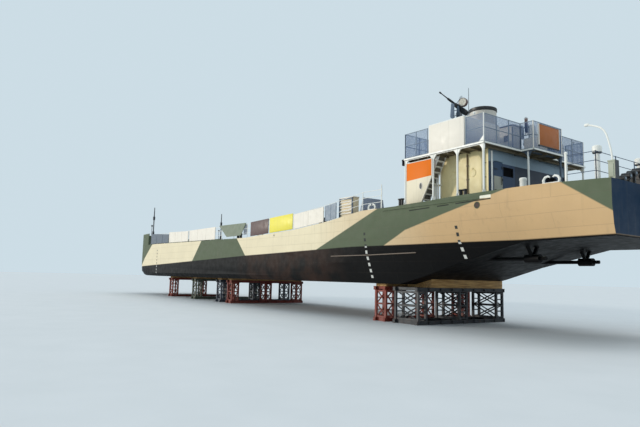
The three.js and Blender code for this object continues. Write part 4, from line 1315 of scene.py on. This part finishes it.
def ventilators():
    body = [(0, 0), (0.17, 0), (0.17, 0.03), (0.12, 0.06), (0.105, 0.1), (0.105, 1.1), (0.09, 1.12),
            (0.09, 1.2), (0, 1.2)]
    cap = [(0, 1.25), (0.16, 1.25), (0.182, 1.262), (0.184, 1.3), (0.184, 1.45), (0.168, 1.5),
           (0.12, 1.53), (0.06, 1.545), (0, 1.55)]
    ring = [(0.09, 1.19), (0.17, 1.215), (0.172, 1.248), (0.09, 1.248), (0.09, 1.19)]
    # Painted shadow: a dark ring stands for the shade under each vent's cap
    under = Shape()
    for name, y in (("port", 3.76), ("middle", 0.26), ("starboard", -3.76)):
        foot = (0.98, y, ON_DECK)
        under.turned(ring, foot, 32)
        piece(f"mushroom_vent_{name}", Shape().turned(body, foot, 32).turned(cap, foot, 32),
              white, replaces=[f"vent_{name}"])
    piece("vent_cap_shadows", under, dark)


def stern_lamp():
    y = 4.2
    bend = [(0.17, 4.93), (0.185, 5.1), (0.2, 5.26), (0.225, 5.42), (0.26, 5.57), (0.31, 5.8),
            (0.37, 6.0), (0.45, 6.16), (0.58, 6.3), (0.75, 6.39), (0.92, 6.46), (1.12, 6.52)]
    lamp = Shape().pipe([(s, y, k) for s, k in bend], 0.036, 14)
    s, k = bend[-1]
    lamp.turned([(0, -0.09), (0.045, -0.09), (0.06, -0.04), (0.06, 0.06), (0.045, 0.09), (0, 0.09)],
                (s, y, k), 20, 0)
    piece("stern_lamp_pipe", lamp, white)
    box = Shape().box((0.04, 0.3), (4.06, 4.3), (ON_DECK, 4.9))
    box.box((0.03, 0.32), (4.04, 4.32), (4.88, 4.94))
    box.box((0.09, 0.26), (4.29, 4.32), (4.3, 4.8))
    piece("stern_lamp_box", box, lamp_paint, replaces=["stern_lamp"], bevel=0.01)
    # Painted shade: a dark plate over the box's aft face, which faces away from the light
    back = Shape().box((0.01, 0.045), (4.05, 4.31), (ON_DECK, 4.93))
    piece("lamp_box_shade", back, dark, bevel=0.006)


def stern_rollers():
    rollers, ends = Shape(), Shape()
    for y, k in ((3.4, 4.34), (2.95, 4.5), (2.5, 4.66), (2.05, 4.82)):
        rollers.disc(0.13, 0.1, 0.44, (0, y, k), 20, 0)
        rollers.box((0.14, 0.4), span(y, 0.05), (ON_DECK, k))
        ends.disc(0.05, 0.085, 0.11, (0, y, k), 16, 0)
    piece("stern_rollers", rollers, black, bevel=0.008)
    piece("stern_roller_ends", ends, blue_grey)


def capstan():
    shape = Shape().turned([(0, 0), (0.25, 0), (0.25, 0.04), (0.18, 0.08), (0.155, 0.14),
                            (0.15, 0.64), (0.168, 0.67), (0.168, 0.74), (0.14, 0.78), (0, 0.78)],
                           (4.64, 3.3, ON_DECK), 40)
    piece("capstan", shape, white, replaces=["capstan_port"])


def stern_rails():
    rail = Shape()
    corners = [QUARTER_POST, (0.62, 4.57), (0.62, -4.6), (6.1, -4.6)]
    for p, q in zip(corners, corners[1:]):
        for s, y in between(p, q, round(dist(p, q) / 1.5) + 1):
            rail.post((s, y, AFT_DECK), AFT_DECK + 1.15, 0.02, 10)
        for level in (0.37, 0.77, 1.13):
            rail.pipe([(*p, AFT_DECK + level), (*q, AFT_DECK + level)], 0.014, 8)
    # Painted shade: the white rails are coloured dark blue as they look in shade
    piece("stern_rails", rail, rail_shade, replaces=["rail_stern"])


def windings(start, length, count, inner, outer, rise):
    """Profile of wire laid side by side on a drum."""
    line = []
    for n in range(count):
        at = start + length * n / count
        line += [(inner, at), (outer, at + rise)]
    return line


def kedge():
    dress(dark, "kedge_platform", "kedge_winch", bevel=0.012)
    drum_s, drum_k = -0.55, 4.4
    line = [(0, -0.85), (0.055, -0.85), (0.055, -0.5), (0.3, -0.5), (0.3, -0.45), (0.165, -0.44)]
    line += windings(-0.42, 0.84, 22, 0.155, 0.17, 0.42 / 22)
    line += [(0.165, 0.44), (0.3, 0.45), (0.3, 0.5), (0.055, 0.5), (0.055, 0.85), (0, 0.85)]
    winding = Shape().turned(line, (drum_s, 0, drum_k), 32, 1)
    piece("kedge_winding_drum", winding, trestle_dark, "drum", replaces=["kedge_drum"])
    gear = Shape()
    for side in (-1, 1):
        gear.box((-0.8, -0.3), span(side * 0.68, 0.08), (3.9, 3.97))
        gear.bolts([(s, side * 0.76, 3.965) for s in (-0.75, -0.35)], 0.035, 0.04)
    gear.box((-0.8, -0.3), (1.0, 1.55), (3.83, 4.3))
    gear.turned([(0, 0), (0.17, 0), (0.17, 0.4), (0.12, 0.46), (0, 0.46)],
                (drum_s, 1.0, 4.1), 20, 1)
    # Rail along the platform's aft edge
    s, half, top = -0.96, 1.8, 4.55
    for y in spread(-half, half, 5):
        gear.post((s, y, 3.82), top, 0.02, 8)
    for k in (4.2, top):
        gear.pipe([(s, -half, k), (s, half, k)], 0.015, 8)
    piece("kedge_fittings", gear, dark, bevel=0.006)


# Side decks

# Columns: name, paint, slot, and runs as start, end and height above the deck at each
BOARDS = [
    ("blue_grey", blue_grey, "blue_grey_paint", [(17.05, 18.22, 1.05, 1.05)]),
    ("cream", cream, "cream_paint",
     [(18.4, 22.0, 1.03, 1.1), (35.1, 41.2, 1.18, 1.12), (41.5, 46.9, 1.08, 1.18)]),
    ("slate", slate, "dark_paint", [(47.1, 52.9, 0.97, 1.23)]),
]


def along_deck(s0, s1):
    return [s0] + [s for s, _ in DECK_EDGE if s0 < s < s1] + [s1]


def side_board(s0, s1, high_aft, high_fore):
    def high(s):
        return high_aft + (high_fore - high_aft) * (s - s0) / (s1 - s0)
    low = 0.06
    stops = along_deck(s0, s1)
    return [(s, deck_at(s) + low) for s in stops] + [(s, deck_at(s) + high(s)) for s in stops[::-1]]


def side_rails():
    rail = Shape()
    stops = along_deck(12.83, 53.0)
    for s0, s1 in zip(stops, stops[1:]):
        count = max(1, round((s1 - s0) / 2.4))
        for s in spread(s0, s1, count + 1)[:count + (s1 == stops[-1])]:
            rail.post((s, RAIL_Y, deck_at(s)), deck_at(s) + 1.13, 0.024, 10)
    for level in (0.385, 0.748, 1.1):
        rail.pipe([(s, RAIL_Y, deck_at(s) + level) for s in stops], 0.015, 8)
    for name, turn in (("port", Shape().merge), ("starboard", mirrored)):
        piece(f"side_rail_{name}", turn(rail), white, replaces=[f"rail_{name}"])


def side_boards():
    for kind, paint, slot, runs in BOARDS:
        boards = Shape()
        for s0, s1, high_aft, high_fore in runs:
            boards.prism(side_board(s0, s1, high_aft, high_fore), 1, RAIL_Y + 0.01, RAIL_Y + 0.05)
            count = max(2, round((s1 - s0) / 1.9))
            for s in spread(s0 + 0.03, s1 - 0.03, count + 1):
                boards.box(span(s, 0.025), (RAIL_Y + 0.045, RAIL_Y + 0.065),
                           (deck_at(s) + 0.07, deck_at(s) + min(high_aft, high_fore) - 0.02))
        piece(f"side_boards_{kind}", both_sides(boards), paint, slot=slot, bevel=0.006)
    dress(yellow, "board_yellow", bevel=0.01)
    dress(brown, "board_brown", bevel=0.01)
    plate = Shape().prism([(34.3, 4.58), (29.15, 4.51), (30.05, 3.53), (32.69, 3.52)], 1, 4.6, 4.64)
    piece("board_green_plate", plate, green, replaces=["board_green"], bevel=0.006)
    backing = Shape().box((29.0, 29.64), (4.56, 4.59), (3.57, 4.42))
    piece("board_grey_plate", both_sides(backing), slate, bevel=0.006)


# Bow

BOW_DECK = 3.574
BULWARK_TOP = 4.85


def ramp_details():
    dress(green, "bow_ramp", bevel=0.015)
    treads = Shape()
    for k in spread(1.5, 4.6, 13):
        treads.box((LENGTH - 0.235, LENGTH - 0.19), (-1.95, 1.95), span(k, 0.03))
    for y in (-1.0, 1.0):
        treads.box((LENGTH - 0.22, LENGTH - 0.19), span(y, 0.35), (1.35, 4.72))
    piece("ramp_treads", treads, green, "ramp", bevel=0.01)
    eyes = Shape()
    for y in (-1.8, 1.8):
        eyes.hoop((LENGTH + 0.02, y, 4.55), 0.09, 16, 0.025)
    piece("ramp_eyes", eyes, dark, "ramp")


def bow_masts():
    s, y, foot = 53.3, 4.3, BOW_DECK
    mast = Shape().turned([(0, 0), (0.22, 0), (0.22, 0.05), (0.14, 0.1), (0.13, 1.4), (0.1, 1.6),
                           (0.06, 1.66), (0.06, 2.9), (0.12, 2.96), (0.13, 3.3), (0.06, 3.38),
                           (0.045, 4.4), (0, 4.42)], (s, y, foot), 24)
    mast.pipe([(s, y, foot + 0.9), (s - 0.5, y, foot)], 0.035, 8)
    piece("bow_masts", both_sides(mast), dark, replaces=pair("bow_mast"))
    mate = Shape().post((s + 0.6, y, foot), foot + 2.2, 0.03, 10)
    mate.turned([(0, 0), (0.09, 0), (0.1, 0.12), (0.05, 0.2), (0, 0.2)],
                (s + 0.6, y, foot + 2.2), 16)
    piece("bow_lamp_posts", both_sides(mate), dark)


def ramp_winches():
    foot = BOW_DECK
    winch = Shape().box((50.9, 52.6), (3.3, 4.3), (foot, foot + 0.12))
    for at in (51.0, 52.35):
        winch.prism([(3.36, foot + 0.1), (4.24, foot + 0.1), (4.0, foot + 1.0), (3.9, foot + 1.05),
                     (3.7, foot + 1.05), (3.6, foot + 1.0)], 0, at, at + 0.15)
    line = [(0, 0), (0.09, 0), (0.09, 0.12), (0.38, 0.12), (0.38, 0.16), (0.22, 0.17)]
    line += windings(0.2, 0.95, 16, 0.2, 0.22, 0.03)
    line += [(0.22, 1.18), (0.38, 1.19), (0.38, 1.23), (0.09, 1.23), (0.09, 1.35), (0, 1.35)]
    winch.turned(line, (51.07, 3.8, foot + 0.65), 32, 0)
    winch.bolts([(a, b, foot + 0.11) for a in (50.97, 52.53) for b in (3.38, 4.22)], 0.05, 0.06)
    piece("ramp_winches", both_sides(winch), dark, replaces=pair("ramp_winch"), bevel=0.012)


def bulwark_edges():
    line = [(53.6, 4.66), (54.6, 4.66), (55.98, 4.545), (56.76, 4.22), (57.02, 3.72),
            (57.02, THROAT_HALF)]
    edge = Shape().pipe([(s, y, BULWARK_TOP) for s, y in line], 0.055, 12)
    for at, b in [(54.2, 4.62), (55.2, 4.57), (56.1, 4.42)]:
        edge.prism([(b, 3.57), (b - 0.4, 3.57), (b - 0.05, 4.8), (b, 4.8)], 0, *span(at, 0.015))
    piece("bulwark_edges", both_sides(edge), green)


# Cradle: trestle rows with bracing, and timber packing

TRESTLES = [
    (11.8, 0.95, trestle_dark, "trestle_blue"), (13.9, 0.5, red_oxide, "trestle_red"),
    (33.7, 0.5, red_oxide, "trestle_red"), (35.9, 0.5, trestle_blue, "trestle_blue"),
    (41.7, 0.5, trestle_green, "trestle_green"), (48.2, 0.5, red_oxide, "trestle_red"),
]
CAP = -0.16
BEAM = 0.2
TRESTLE_HALF = 3.75
TRESTLE_LEGS = (-3.3, 0, 3.3)


def girder(shape, s, k0, k1, half):
    """An I-shaped beam across the craft, with stiffeners."""
    flange = 0.03
    shape.box(span(s, 0.09), (-half, half), (k0, k0 + flange))
    shape.box(span(s, 0.09), (-half, half), (k1 - flange, k1))
    shape.box(span(s, 0.015), (-half, half), (k0 + 0.01, k1 - 0.01))
    for y in spread(-half + 0.02, half - 0.02, 9):
        shape.box(span(s, 0.085), span(y, 0.012), (k0 + 0.01, k1 - 0.01))


def trestle(s, reach):
    """Two girder frames, aft and fore, with legs, rungs and cross bracing between them."""
    shape = Shape()
    low, high = FLOOR + BEAM, CAP - BEAM
    middle = (low + high) / 2
    aft, fore = s - reach + 0.09, s + reach - 0.09
    for at in (aft, fore):
        girder(shape, at, high, CAP, TRESTLE_HALF)
        girder(shape, at, FLOOR, low, TRESTLE_HALF)
        for y in TRESTLE_LEGS:
            for way in (-1, 1):
                shape.box(span(at, 0.07), span(y + way * 0.29, 0.06), (low - 0.01, high + 0.01))
            for k in spread(low + 0.1, high - 0.1, 5):
                shape.box(span(at, 0.06), span(y, 0.3), span(k, 0.03))
            for k in (low, high):
                shape.box(span(at, 0.1), span(y, 0.4), span(k, 0.015))
                shape.bolts([(a, b, k + 0.012) for a in span(at, 0.08) for b in span(y, 0.37)],
                            0.02, 0.025)
    for y in TRESTLE_LEGS:
        for side in (-0.25, 0.25):
            for k0, k1 in ((low, middle), (middle, high)):
                shape.pipe([(aft, y + side, k0), (fore, y + side, k1)], 0.04, 8)
                shape.pipe([(aft, y + side, k1), (fore, y + side, k0)], 0.04, 8)
        for k in (low + 0.06, middle, high - 0.06):
            shape.box((aft, fore), (y - 0.3, y - 0.2), span(k, 0.05))
            shape.box((aft, fore), (y + 0.2, y + 0.3), span(k, 0.05))
    for y in (-3.5, 3.5):
        shape.box((aft, fore), span(y, 0.08), (high + 0.05, CAP))
        shape.box((aft, fore), span(y, 0.08), (FLOOR, low))
    return shape


def packing(s, reach):
    """Squared baulks side by side between the trestle and the bottom."""
    shape = Shape()
    count = 3
    width = (2 * reach - 0.1) / count
    for n in range(count):
        at = s - reach + 0.05 + n * width
        for y0, y1 in ((-3.6, -1.25), (-1.2, 1.2), (1.25, 3.6)):
            shape.box((at + 0.01, at + width - 0.01), (y0, y1), (CAP + 0.001, -0.002))
    return shape


def cradle():
    for n, (s, reach, paint, slot) in enumerate(TRESTLES, 1):
        piece(f"trestle_frame_{n}", trestle(s, reach), paint, replaces=[f"trestle_{n}"], slot=slot)
        if n > 1:
            piece(f"packing_{n}", packing(s, reach), timber, replaces=[f"timber_{n}"], bevel=0.012)
    dress(timber, "timber_1", bevel=0.015)


for build in [
    dress_hull, deck_fittings, hatches_and_posts, hold_details, breakwater_details, bridge_posts,
    bridge_deck_trim, bridge_edge, fences, aft_board, windows, wall_pipes, door_gear,
    screens_and_ladder, tub_trim, guns, funnel, locker, mast_and_lamps, ventilators, stern_lamp,
    stern_rollers, capstan, stern_rails, kedge, side_rails, side_boards, ramp_details, bow_masts,
    ramp_winches, bulwark_edges, cradle,
]:
    build()
